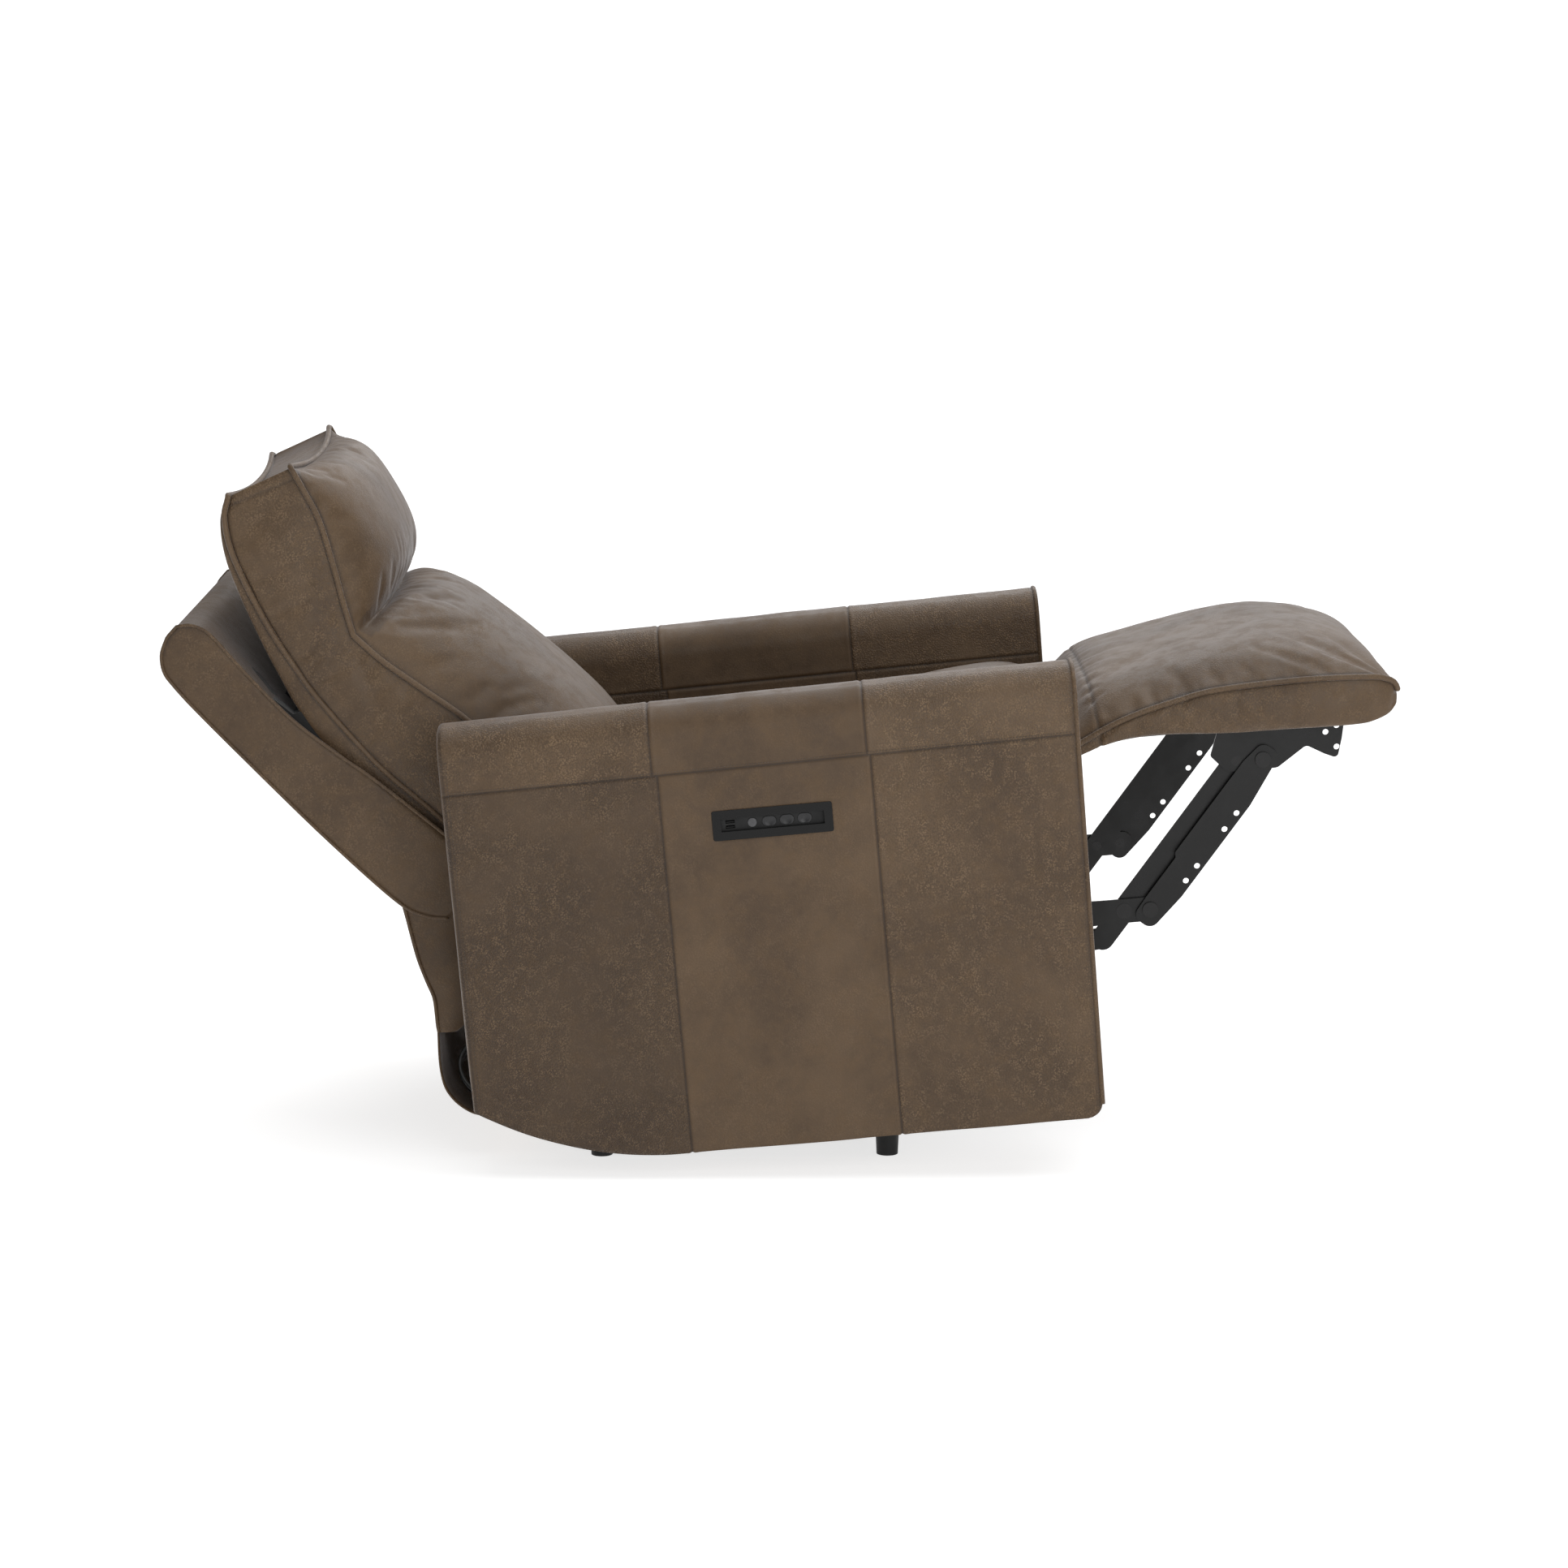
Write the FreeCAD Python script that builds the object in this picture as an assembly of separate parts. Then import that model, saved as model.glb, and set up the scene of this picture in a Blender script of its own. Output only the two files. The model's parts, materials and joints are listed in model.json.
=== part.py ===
"""Power recliner armchair, stored reclined: footrest out, back down, body tilted back on its base.

The upholstered body is drawn level and then tilted on its base.  Side views use two numbers,
(forward, up), measured from the floor under the tilt pivot; X runs across the chair.
"""
import FreeCAD, Part
import math
import os

V = FreeCAD.Vector

# ---------------------------------------------------------------- overall sizes (mm)
CHAIR_WIDTH = 860.0
ARM_WIDTH = 113.0
ARM_FRONT = 490.0            # forward of the tilt pivot
ARM_REAR = -372.0
ARM_TOP_FRONT = 668.0
ARM_TOP_REAR = 655.0
ARM_BOTTOM = 44.0
ARM_TOP_ROUND = 40.0
SEAT_GAP = 9.0               # cushion side to arm side
BACK_GAP = 17.0              # back shell side to arm side
SOFT_GAP = 0.3               # between soft solids that only touch
RUN = 0.05                   # radial running clearance of pins
STEEL = 4.0                  # link and bracket plate
LAYER = 5.0                  # pitch of the link layers across the chair

# ---------------------------------------------------------------- motions, at the stored pose (degrees)
BODY_TILT = 5.0              # body leaned back on its base
BACK_ANGLE = 130.0           # direction of the back, from straight forward
BACK_TRAVEL = 30.0           # to upright
HEADREST_LEAN = 25.0         # headrest forward of the back
FOOTREST_TRAVEL = 90.0       # lower link swing from out to folded

# ---------------------------------------------------------------- pivots (forward, up), body level
TILT_PIVOT = (0.0, 330.0)
BACK_PIVOT = (-140.0, 420.0)
LINK_PIVOT = (385.0, 288.0)          # lower link on the side plate
HEADREST_ALONG, HEADREST_ACROSS = 492.0, -96.0     # on the back
LOWER_LINK = 197.0                   # side plate pivot to support link pivot
LINK_OFFSET = 36.0                   # support link pivot to guide link pivot
SUPPORT_LINK = 262.0
SUPPORT_ANGLE = 49.2
GUIDE_TAIL = 50.0                    # guide link past its pivot
REAR_PIVOT = (360.0, 232.7)          # rear link on the side plate

# ---------------------------------------------------------------- across the chair
HALF = CHAIR_WIDTH / 2
ARM_INNER = HALF - ARM_WIDTH
PLATE_INNER = 251.0                  # inner face of the mechanism side plates
PLATE = 5.0
RAIL_INNER = PLATE_INNER + PLATE + 1.0
RAIL = 28.0                          # wooden rail thickness
RAIL_OUTER = RAIL_INNER + RAIL
SUPPORT_X = PLATE_INNER - LAYER      # outer, nearest the side plate
LOWER_X = SUPPORT_X - LAYER
GUIDE_X = LOWER_X - LAYER
REAR_X = GUIDE_X - LAYER


# ================================================================ drawing helpers
class Side:
    """A side-view frame: an origin, a direction and which way its second axis points."""

    def __init__(self, origin=(0.0, 0.0), angle=0.0, flip=1):
        self.origin = origin
        self.along = (math.cos(math.radians(angle)), math.sin(math.radians(angle)))
        self.across = (-flip * self.along[1], flip * self.along[0])

    def flat(self, a, b):
        return (self.origin[0] + a * self.along[0] + b * self.across[0],
                self.origin[1] + a * self.along[1] + b * self.across[1])

    def at(self, a, b, x=0.0):
        forward, up = self.flat(a, b)
        return V(x, -forward, up)


LEVEL = Side()
BACK = Side(BACK_PIVOT, BACK_ANGLE, -1)
HEADREST = Side(BACK.flat(HEADREST_ALONG, HEADREST_ACROSS), BACK_ANGLE - HEADREST_LEAN, -1)
LOWER = Side(LINK_PIVOT, 0.0)
SUPPORT = Side(LOWER.flat(LOWER_LINK, 0), SUPPORT_ANGLE)
GUIDE = Side(LOWER.flat(LOWER_LINK - LINK_OFFSET, 0), SUPPORT_ANGLE)
FOOTREST_PIVOT = SUPPORT.flat(SUPPORT_LINK, 0)
FOOTREST = Side(FOOTREST_PIVOT, 0.0)
GUIDE_PIN = GUIDE.flat(-GUIDE_TAIL, 0)
REAR_LENGTH = math.dist(REAR_PIVOT, GUIDE_PIN)
REAR = Side(REAR_PIVOT, math.degrees(math.atan2(GUIDE_PIN[1] - REAR_PIVOT[1],
                                                GUIDE_PIN[0] - REAR_PIVOT[0])))


def outline(corners, side=LEVEL, x=0.0):
    """Closed wire through (along, across[, corner radius]) points, in the plane at x."""
    points = [side.at(c[0], c[1], x) for c in corners]
    radii = [c[2] if len(c) > 2 else 0.0 for c in corners]
    edges, ends = [], []
    for i, corner in enumerate(points):
        back = (points[i - 1] - corner).normalize()
        ahead = (points[(i + 1) % len(points)] - corner).normalize()
        if radii[i] <= 0:
            ends.append((corner, corner, None))
            continue
        half = back.getAngle(ahead) / 2
        reach = radii[i] / math.tan(half)
        middle = corner + (back + ahead).normalize() * (radii[i] / math.sin(half) - radii[i])
        ends.append((corner + back * reach, corner + ahead * reach, middle))
    for i, (start, end, middle) in enumerate(ends):
        if middle is not None:
            edges.append(Part.Arc(start, middle, end).toShape())
        following = ends[(i + 1) % len(ends)][0]
        if end.distanceToPoint(following) > 1e-6:
            edges.append(Part.makeLine(end, following))
    return Part.Wire(edges)


def slab(corners, x0, x1, side=LEVEL):
    """The outline, as thick as x0 to x1."""
    return Part.Face(outline(corners, side, x0)).extrude(V(x1 - x0, 0, 0))


def box(f0, f1, z0, z1, x0, x1, side=LEVEL):
    return slab([(f0, z0), (f1, z0), (f1, z1), (f0, z1)], x0, x1, side)


def disc(point, radius, x0, x1, side=LEVEL):
    """A round bar across the chair."""
    return Part.makeCylinder(radius, x1 - x0, side.at(point[0], point[1], x0), V(1, 0, 0))


def bar_along(start, end, radius, x, side=LEVEL):
    """A round bar in the side view, from one (along, across) point to another."""
    first, last = side.at(start[0], start[1], x), side.at(end[0], end[1], x)
    return Part.makeCylinder(radius, (last - first).Length, first, last - first)


def crowned(sections, side=LEVEL):
    """A cushion through outlines of equal count at several x values."""
    wires = [Part.makePolygon([side.at(a, b, x) for a, b in points + points[:1]])
             for x, points in sections]
    return Part.makeLoft(wires, True, True)


def strap(length, half_width, x, side, holes=(), tail=0.0):
    """A flat link with round ends, from its pivot at 0 to its pivot at length."""
    radius = half_width - 0.01
    link = slab([(-half_width - tail, -half_width, radius), (length + half_width, -half_width, radius),
                 (length + half_width, half_width, radius), (-half_width - tail, half_width, radius)],
                x, x + STEEL, side)
    for along, across, hole_radius in holes:
        link = link.cut(disc((along, across), hole_radius, x - 1, x + STEEL + 1, side))
    return link


def both(shape):
    """The piece and its mirror image on the other side of the chair."""
    return [shape, shape.mirror(V(0, 0, 0), V(1, 0, 0))]


def both_of(shapes):
    return [copy for shape in shapes for copy in both(shape)]


NODES = {}


def keep(name, solids, tilted=True):
    """Store a node's solids, turned with the body where they belong to it."""
    group = Part.makeCompound([s.copy() for s in (solids if isinstance(solids, list) else [solids])])
    if tilted:
        group.rotate(LEVEL.at(*TILT_PIVOT), V(1, 0, 0), -BODY_TILT)
    NODES[name] = group


# ================================================================ base
FOOT_RADIUS = 16.5
FOOT_HEIGHT = 34.0
BASE_TUBE = 28.0
BASE_X = 290.0
BASE_FRONT_FOOT = 216.0
BASE_REAR_FOOT = -183.0
BASE_END = 19.0                # tube past the foot
STAND_X = 297.0
STAND = 6.0
STAND_WIDTH = 60.0
PIN = 8.0
BASE_TOP = FOOT_HEIGHT + BASE_TUBE
TILT_LEVER = 230.0
TILT_DRIVE_UP = TILT_PIVOT[1] - TILT_LEVER * math.cos(math.radians(BODY_TILT / 2))


def base():
    """Steel frame on four feet, with a stand each side that carries the body's tilt pivot."""
    front, rear = BASE_FRONT_FOOT + BASE_END, BASE_REAR_FOOT - BASE_END
    half = BASE_TUBE / 2
    rail = box(rear, front, FOOT_HEIGHT, BASE_TOP, BASE_X - half, BASE_X + half)
    frame = rail.fuse(rail.mirror(V(0, 0, 0), V(1, 0, 0)))
    for forward in (BASE_FRONT_FOOT, BASE_REAR_FOOT):
        frame = frame.fuse(box(forward - half, forward + half, FOOT_HEIGHT, BASE_TOP, -BASE_X, BASE_X))
    drive_bracket = box(-240, -170, BASE_TOP, TILT_DRIVE_UP - 16, -18, 18)
    keep("base_frame", [frame.removeSplitter(), drive_bracket], tilted=False)

    feet = []
    for forward in (BASE_FRONT_FOOT, BASE_REAR_FOOT):
        foot = Part.makeCone(FOOT_RADIUS - 1.5, FOOT_RADIUS, FOOT_HEIGHT, LEVEL.at(forward, 0, BASE_X))
        feet += both(foot)
    keep("base_feet", feet, tilted=False)

    pivot_forward, pivot_up = TILT_PIVOT
    stand = slab([(-STAND_WIDTH, BASE_TOP), (STAND_WIDTH, BASE_TOP),
                  (STAND_WIDTH / 2, pivot_up + 24, 22), (-STAND_WIDTH / 2, pivot_up + 24, 22)],
                 STAND_X, STAND_X + STAND)
    stand = stand.cut(disc(TILT_PIVOT, PIN, STAND_X - 1, STAND_X + STAND + 1))
    pin = disc(TILT_PIVOT, PIN, RAIL_INNER, STAND_X + STAND)
    pin = pin.fuse(disc(TILT_PIVOT, PIN + 5, STAND_X + STAND, STAND_X + STAND + 4))
    keep("tilt_stands", both(stand) + both(pin.removeSplitter()), tilted=False)


# ================================================================ arms
CORE_INSET = 20.0
BEZEL_THICK = 2.5
PANEL_REAR, PANEL_FRONT = -12.0, 151.0
PANEL_BOTTOM, PANEL_TOP = 473.0, 514.0
TRAY_MARGIN = 10.0
TRAY_DEPTH = 26.0


def arm_profile(inset=0.0):
    """Side view of an arm: level bottom that sweeps up behind, straight rear and front edges."""
    sweep = 530.0 if inset == 0 else 0.0
    return [(-239.0 + inset, ARM_BOTTOM + inset, sweep), (ARM_REAR + inset, 127.0 + inset, 6.0),
            (ARM_REAR + inset, ARM_TOP_REAR - inset, 10.0), (ARM_FRONT - inset, ARM_TOP_FRONT - inset, 8.0),
            (ARM_FRONT - 5.0 - inset, ARM_BOTTOM + inset, 22.0)]


def arm_solid():
    """An arm whose long upper edges are rounded along their slight slope."""
    body = slab(arm_profile(), ARM_INNER, HALF)
    slope = math.degrees(math.atan2(ARM_TOP_FRONT - ARM_TOP_REAR, ARM_FRONT - ARM_REAR))
    round_top = ARM_TOP_ROUND
    for x_edge, inward in ((HALF, -1), (ARM_INNER, 1)):
        x_centre = x_edge + inward * round_top
        bar = Side((ARM_REAR - 60, ARM_TOP_REAR - round_top - 60 * math.tan(math.radians(slope))), slope)
        length = ARM_FRONT - ARM_REAR + 120
        low, high = sorted((x_centre, x_edge - inward * 5))
        corner = box(0, length, 0, round_top + 20, low, high, bar)
        corner = corner.cut(bar_along((0, 0), (length, 0), round_top, x_centre, bar))
        body = body.cut(corner)
    return body


def arms():
    cover = arm_solid()
    core_low, core_high = ARM_INNER + 18, HALF - 18
    core = slab([(-205.0, ARM_BOTTOM + CORE_INSET), (ARM_REAR + CORE_INSET, 148.0),
                 (ARM_REAR + CORE_INSET, ARM_TOP_REAR - 34), (ARM_FRONT - CORE_INSET, ARM_TOP_REAR - 34),
                 (ARM_FRONT - CORE_INSET - 5, ARM_BOTTOM + CORE_INSET)], core_low, core_high)
    board = 45.0
    frame = core
    for f0, f1 in ((ARM_REAR + CORE_INSET + board, PANEL_REAR - board), (PANEL_FRONT + board, ARM_FRONT - 70)):
        frame = frame.cut(box(f0, f1, ARM_BOTTOM + CORE_INSET + board + 60, ARM_TOP_REAR - 34 - board,
                              core_low - 1, core_high + 1))
    frame = frame.cut(box(PANEL_REAR - 12, PANEL_FRONT + 12, ARM_BOTTOM + CORE_INSET + board + 60,
                          ARM_TOP_REAR - 34 - board, core_low - 1, core_high + 1))
    cover = cover.cut(core)
    keep("left_arm_cover", cover)
    keep("left_arm_frame", frame)

    right_cover = cover.mirror(V(0, 0, 0), V(1, 0, 0))
    recess = box(PANEL_REAR, PANEL_FRONT, PANEL_BOTTOM, PANEL_TOP, -HALF - 1, -HALF + BEZEL_THICK)
    well = box(PANEL_REAR + TRAY_MARGIN, PANEL_FRONT - TRAY_MARGIN, PANEL_BOTTOM + TRAY_MARGIN,
               PANEL_TOP - TRAY_MARGIN, -HALF - 1, -core_high + 1)
    keep("right_arm_cover", right_cover.cut(recess).cut(well))
    keep("right_arm_frame", frame.mirror(V(0, 0, 0), V(1, 0, 0)))


# ================================================================ control panel on the right arm
TRAY_WALL = 1.6
TRAY_FLOOR = 7.0             # face of the buttons' plate, in from the arm
BUTTON_GAP = 0.4
BUTTON_TRAVEL = 1.2
OVAL_HALF_LENGTH, OVAL_HALF_HEIGHT = 9.5, 6.5
ROUND_RADIUS = 6.0
ROUND_AT = 42.0
OVALS_AT = (65.0, 89.0, 113.0)
OVAL_NAMES = ("footrest_button", "recline_button", "headrest_button")
USB_AT = 12.0
BUTTON_DEPTH = 9.0


def oval(forward, up, half_length, half_height, x0, x1):
    corner = half_height - 0.01
    return slab([(forward - half_length, up - half_height, corner), (forward + half_length, up - half_height, corner),
                 (forward + half_length, up + half_height, corner), (forward - half_length, up + half_height, corner)],
                x0, x1)


def control_panel():
    """Glossy bezel, a recessed tray, a round home button, three oval switches and a USB port."""
    outer = -HALF
    middle = (PANEL_TOP + PANEL_BOTTOM) / 2
    bezel = slab([(PANEL_REAR, PANEL_BOTTOM, 3), (PANEL_FRONT, PANEL_BOTTOM, 3),
                  (PANEL_FRONT, PANEL_TOP, 3), (PANEL_REAR, PANEL_TOP, 3)], outer, outer + BEZEL_THICK)
    inner = TRAY_MARGIN + TRAY_WALL
    bezel = bezel.cut(box(PANEL_REAR + inner, PANEL_FRONT - inner, PANEL_BOTTOM + inner,
                          PANEL_TOP - inner, outer - 1, outer + BEZEL_THICK + 1))
    keep("control_bezel", bezel)

    wall = TRAY_MARGIN + SOFT_GAP
    x_in = outer + BEZEL_THICK
    tray = box(PANEL_REAR + wall, PANEL_FRONT - wall, PANEL_BOTTOM + wall, PANEL_TOP - wall,
               x_in, outer + TRAY_FLOOR + BUTTON_DEPTH + 3)
    tray = tray.cut(box(PANEL_REAR + inner, PANEL_FRONT - inner, PANEL_BOTTOM + inner,
                        PANEL_TOP - inner, x_in - 1, outer + TRAY_FLOOR))
    face = outer + TRAY_FLOOR
    depth = face + BUTTON_DEPTH + BUTTON_TRAVEL + 0.5
    proud = 1.0
    for forward, name in zip(OVALS_AT, OVAL_NAMES):
        tray = tray.cut(oval(forward, middle, OVAL_HALF_LENGTH + BUTTON_GAP, OVAL_HALF_HEIGHT + BUTTON_GAP,
                             face - 1, depth))
        button = oval(forward, middle, OVAL_HALF_LENGTH, OVAL_HALF_HEIGHT, face - proud, face + BUTTON_DEPTH)
        dish = Part.makeSphere(22.0, LEVEL.at(forward, middle, face - proud - 21.0))
        keep(name, button.cut(dish))
    tray = tray.cut(disc((ROUND_AT, middle), ROUND_RADIUS + BUTTON_GAP, face - 1, depth))
    keep("home_button", disc((ROUND_AT, middle), ROUND_RADIUS, face - proud, face + BUTTON_DEPTH))
    port = (USB_AT - 8.0, USB_AT + 8.0, middle - 7.0, middle + 7.0)
    tray = tray.cut(box(*port, face - 1, face + BUTTON_DEPTH))
    usb = box(*port, face, face + BUTTON_DEPTH)
    for up in (middle - 3.5, middle + 3.5):
        usb = usb.cut(box(USB_AT - 6.2, USB_AT + 6.2, up - 2.2, up + 2.2, face - 1, face + BUTTON_DEPTH - 1.5))
        tongue = box(USB_AT - 5.4, USB_AT + 5.4, up - 1.3, up - 0.1, face + 1.0, face + BUTTON_DEPTH - 1.5)
        usb = usb.fuse(tongue)
    keep("control_tray", tray)
    keep("usb_port", usb)


# ================================================================ seat box
RAIL_REAR, RAIL_FRONT = -180.0, 408.0
RAIL_BOTTOM, RAIL_TOP = 255.0, 398.0
SEAT_TOP_FRONT, SEAT_TOP_REAR = 596.0, 512.0
SEAT_FRONT, SEAT_REAR = 500.0, -72.0
STRAP = 2.0
CROSS_TUBE = 12.0
HINGE_PLATE_X = 291.0


def seat_box():
    """Wooden rails, the blocks that carry the arms and the webbing under the cushion."""
    side = box(RAIL_REAR, RAIL_FRONT, RAIL_BOTTOM, RAIL_TOP, RAIL_INNER, RAIL_OUTER)
    side = side.cut(disc(TILT_PIVOT, PIN + RUN, RAIL_INNER - 1, RAIL_OUTER + 1))
    rails = both(side)
    rails.append(box(RAIL_FRONT - RAIL, RAIL_FRONT, 330, RAIL_TOP, -PLATE_INNER, PLATE_INNER))
    rails.append(box(-105, -80, 365, RAIL_TOP, -PLATE_INNER, PLATE_INNER))
    rails.append(box(RAIL_REAR + 20, RAIL_REAR + 45, RAIL_BOTTOM, 300, -PLATE_INNER, PLATE_INNER))
    rails.append(box(-345, -320, 90, 150, -ARM_INNER, ARM_INNER))
    keep("seat_box_rails", rails)

    blocks = [box(f0, f0 + 55, 275, 380, RAIL_OUTER, ARM_INNER) for f0 in (55.0, 330.0)]
    keep("arm_mounting_blocks", both_of(blocks))

    straps = []
    for i in range(5):
        x = -200 + 100 * i
        straps.append(box(-105, RAIL_FRONT, RAIL_TOP, RAIL_TOP + STRAP, x - 25, x + 25))
    keep("seat_webbing", straps)

    inner = ARM_INNER - SEAT_GAP
    under = RAIL_TOP + STRAP
    nose = SEAT_FRONT - 2

    def section(sink):
        return [(SEAT_REAR, under), (412, under), (425, 432), (nose - 6, 432), (nose, 445),
                (nose, SEAT_TOP_FRONT - 40 - sink), (nose - 18, SEAT_TOP_FRONT - 14 - sink),
                (SEAT_FRONT - 60, SEAT_TOP_FRONT - sink), (300, SEAT_TOP_FRONT - 8 - sink),
                (SEAT_REAR + 60, SEAT_TOP_REAR + 14 - sink), (SEAT_REAR + 8, SEAT_TOP_REAR - 14 - sink)]

    keep("seat_cushion", crowned([(-inner, section(46)), (-inner + 40, section(14)), (-90, section(0)),
                                  (90, section(0)), (inner - 40, section(14)), (inner, section(46))]))


# ================================================================ side plates, cross tubes and drives
PLATE_BOTTOM = 213.0
PLATE_TOP = 384.0
DRIVE_X = 70.0
ROD = 8.0
HOUSING = 30.0
YOKE_IN, YOKE_OUT = 8.0, 14.0
DRIVE_PIN = 5.0


def side_plates():
    plate = slab([(-150, 262), (340, PLATE_BOTTOM, 20), (LINK_PIVOT[0] + 20, PLATE_BOTTOM, 20),
                  (LINK_PIVOT[0] + 27, PLATE_TOP - 60, 20), (340, PLATE_TOP), (-150, PLATE_TOP)],
                 PLATE_INNER, PLATE_INNER + PLATE)
    for point, radius in ((LINK_PIVOT, PIN), (REAR_PIVOT, DRIVE_PIN), (TILT_PIVOT, PIN + 2)):
        plate = plate.cut(disc(point, radius, PLATE_INNER - 1, PLATE_INNER + PLATE + 1))
    washer = box(-100, -60, 300, 340, PLATE_INNER + PLATE, RAIL_INNER)
    bolts = [disc((f, 325), 6, RAIL_INNER - 1.0, RAIL_INNER) for f in (-120, 120, 300)]
    keep("mechanism_side_plates", both(plate))
    keep("side_plate_spacers", both_of([washer] + bolts))
    pins = [disc(LINK_PIVOT, PIN, LOWER_X - 1, PLATE_INNER + PLATE),
            disc(REAR_PIVOT, DRIVE_PIN, REAR_X - 1, PLATE_INNER + PLATE)]
    keep("link_frame_pins", both_of(pins))


TILT_TUBE = (0.0, 275.0)
DRIVE_FRONT_BAR = (230.0, 255.0)
DRIVE_REAR_BAR = (35.0, 60.0)
FOOT_DRIVE_LEVER = 45.0
FOOT_DRIVE_UP = LINK_PIVOT[1] - FOOT_DRIVE_LEVER * (1 + math.cos(math.radians(45))) / 2
RECLINE_LEVER = 100.0
RECLINE_DRIVE_UP = BACK_PIVOT[1] - RECLINE_LEVER * (1 + math.cos(math.radians(BACK_TRAVEL / 2))) / 2
SLOT_PLAY = 2.2


def yoke(pin_point, middle, half_travel, toward, x, side=LEVEL):
    """Rod end: two cheeks with a slot across the rod, round a lever's pin; toward is +1 or -1."""
    a = pin_point[0]
    reach = half_travel + DRIVE_PIN + 6
    cheek_half = DRIVE_PIN + SLOT_PLAY + 5
    solid = None
    for low, high in ((x - YOKE_OUT, x - YOKE_IN), (x + YOKE_IN, x + YOKE_OUT)):
        ends = sorted((a + toward * cheek_half, a - toward * 46))
        cheek = box(ends[0], ends[1], middle - reach, middle + reach, low, high, side)
        slot = box(a - DRIVE_PIN - SLOT_PLAY, a + DRIVE_PIN + SLOT_PLAY, middle - half_travel - DRIVE_PIN - 1,
                   middle + half_travel + DRIVE_PIN + 1, low - 1, high + 1, side)
        cheek = cheek.cut(slot)
        solid = cheek if solid is None else solid.fuse(cheek)
    ends = sorted((a - toward * 46, a - toward * 40))
    return solid.fuse(box(ends[0], ends[1], middle - reach, middle + reach, x - YOKE_OUT, x + YOKE_OUT, side))


def drive(name, near, far, yoke_shape, middle, x, motor_across, inward=0.0, side=LEVEL, tilted=True,
          half=16.0):
    """A linear drive: a housing from near to far (along), with a motor can, and a rod that goes in by inward."""
    first, last = sorted((near, far))
    housing = box(first, last, middle - half, middle + half, x - 18, x + 18, side)
    housing = housing.cut(bar_along((first - 1, middle), (last + 1, middle), ROD + RUN, x, side))
    direction = 1 if far > near else -1
    can_low, can_high = sorted((far, far - direction * 70))
    can = bar_along((can_low, motor_across), (can_high, motor_across), 22, x, side)
    housing = housing.fuse(can).removeSplitter()
    keep(name + "_drive_housing", housing, tilted)
    rod_from = yoke_shape[1]
    rod_to = far - direction * (12 + inward)
    rod = bar_along((rod_from, middle), (rod_to, middle), ROD, x, side)
    keep(name + "_drive_rod", yoke_shape[0].fuse(rod).removeSplitter(), tilted)


def lever(side, length, x, half_width=10.0):
    """A plate from a cross tube to its drive pin, with the pin."""
    plate = slab([(-half_width, -half_width, half_width - 0.01), (length + half_width, -half_width, half_width - 0.01),
                  (length + half_width, half_width, half_width - 0.01), (-half_width, half_width, half_width - 0.01)],
                 x - 5, x + 5, side)
    return plate.fuse(disc((length, 0), DRIVE_PIN, x - YOKE_OUT - 2, x + YOKE_OUT + 2, side))


def drives():
    """Cross tubes and the three motor drives in the body and base."""
    plate_gap = PLATE_INNER
    tilt_tube = disc(TILT_TUBE, CROSS_TUBE, -plate_gap, plate_gap)
    drop = Side(TILT_TUBE, -90)
    keep("tilt_cross_tube", tilt_tube.fuse(lever(drop, TILT_LEVER - (TILT_PIVOT[1] - TILT_TUBE[1]), 0))
         .removeSplitter())
    lean = math.radians(BODY_TILT)
    pin_forward = TILT_PIVOT[0] + TILT_LEVER * math.sin(lean)
    pin_up = TILT_DRIVE_UP
    drive("tilt", -90.0, -240.0, (yoke((pin_forward, pin_up), pin_up, 1.5, 1, 0), pin_forward - 40),
          pin_up, 0, motor_across=pin_up + 34, inward=TILT_LEVER * lean, tilted=False)

    bars = [box(*DRIVE_FRONT_BAR, RECLINE_DRIVE_UP - 16, RECLINE_DRIVE_UP + 16, -plate_gap, plate_gap),
            box(*DRIVE_REAR_BAR, FOOT_DRIVE_UP - 16, FOOT_DRIVE_UP + 12, -plate_gap, plate_gap)]
    keep("drive_cross_bars", bars)

    crank = Side(LINK_PIVOT, -45)
    foot_pin = crank.flat(FOOT_DRIVE_LEVER, 0)
    sag = FOOT_DRIVE_LEVER * (1 - math.cos(math.radians(45))) / 2
    drive("footrest", 290.0, DRIVE_REAR_BAR[1], (yoke(foot_pin, FOOT_DRIVE_UP, sag, 1, DRIVE_X), foot_pin[0] - 40),
          FOOT_DRIVE_UP, DRIVE_X, motor_across=FOOT_DRIVE_UP - 36,
          inward=2 * FOOT_DRIVE_LEVER * math.sin(math.radians(FOOTREST_TRAVEL / 2)))

    arm = Side(BACK_PIVOT, -90 + BACK_TRAVEL / 2)
    recline_pin = arm.flat(RECLINE_LEVER, 0)
    sag = RECLINE_LEVER * (1 - math.cos(math.radians(BACK_TRAVEL / 2))) / 2
    drive("recline", 10.0, DRIVE_FRONT_BAR[0], (yoke(recline_pin, RECLINE_DRIVE_UP, sag, -1, -DRIVE_X),
                                                recline_pin[0] + 40),
          RECLINE_DRIVE_UP, -DRIVE_X, motor_across=RECLINE_DRIVE_UP + 36)
    keep("control_box", box(60, 180, 300, 370, 190, PLATE_INNER))
    keep("power_supply", box(60, 200, 300, 350, -PLATE_INNER, -150))


# ================================================================ footrest linkage
STRAP_HALF = 24.5
LINK_HALF = 17.0
LINK_PIN = 7.0
FLUSH = 0.6                  # a flat rivet end, thinner than the gap between two links
OPEN_PLAY = 5.0              # play of the one open pivot
BOARD_REAR, BOARD_FRONT = 560.0, 900.0
BOARD_BOTTOM, BOARD = 536.0, 12.0
BOARD_HALF = 268.0
HOLE = 4.2


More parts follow.
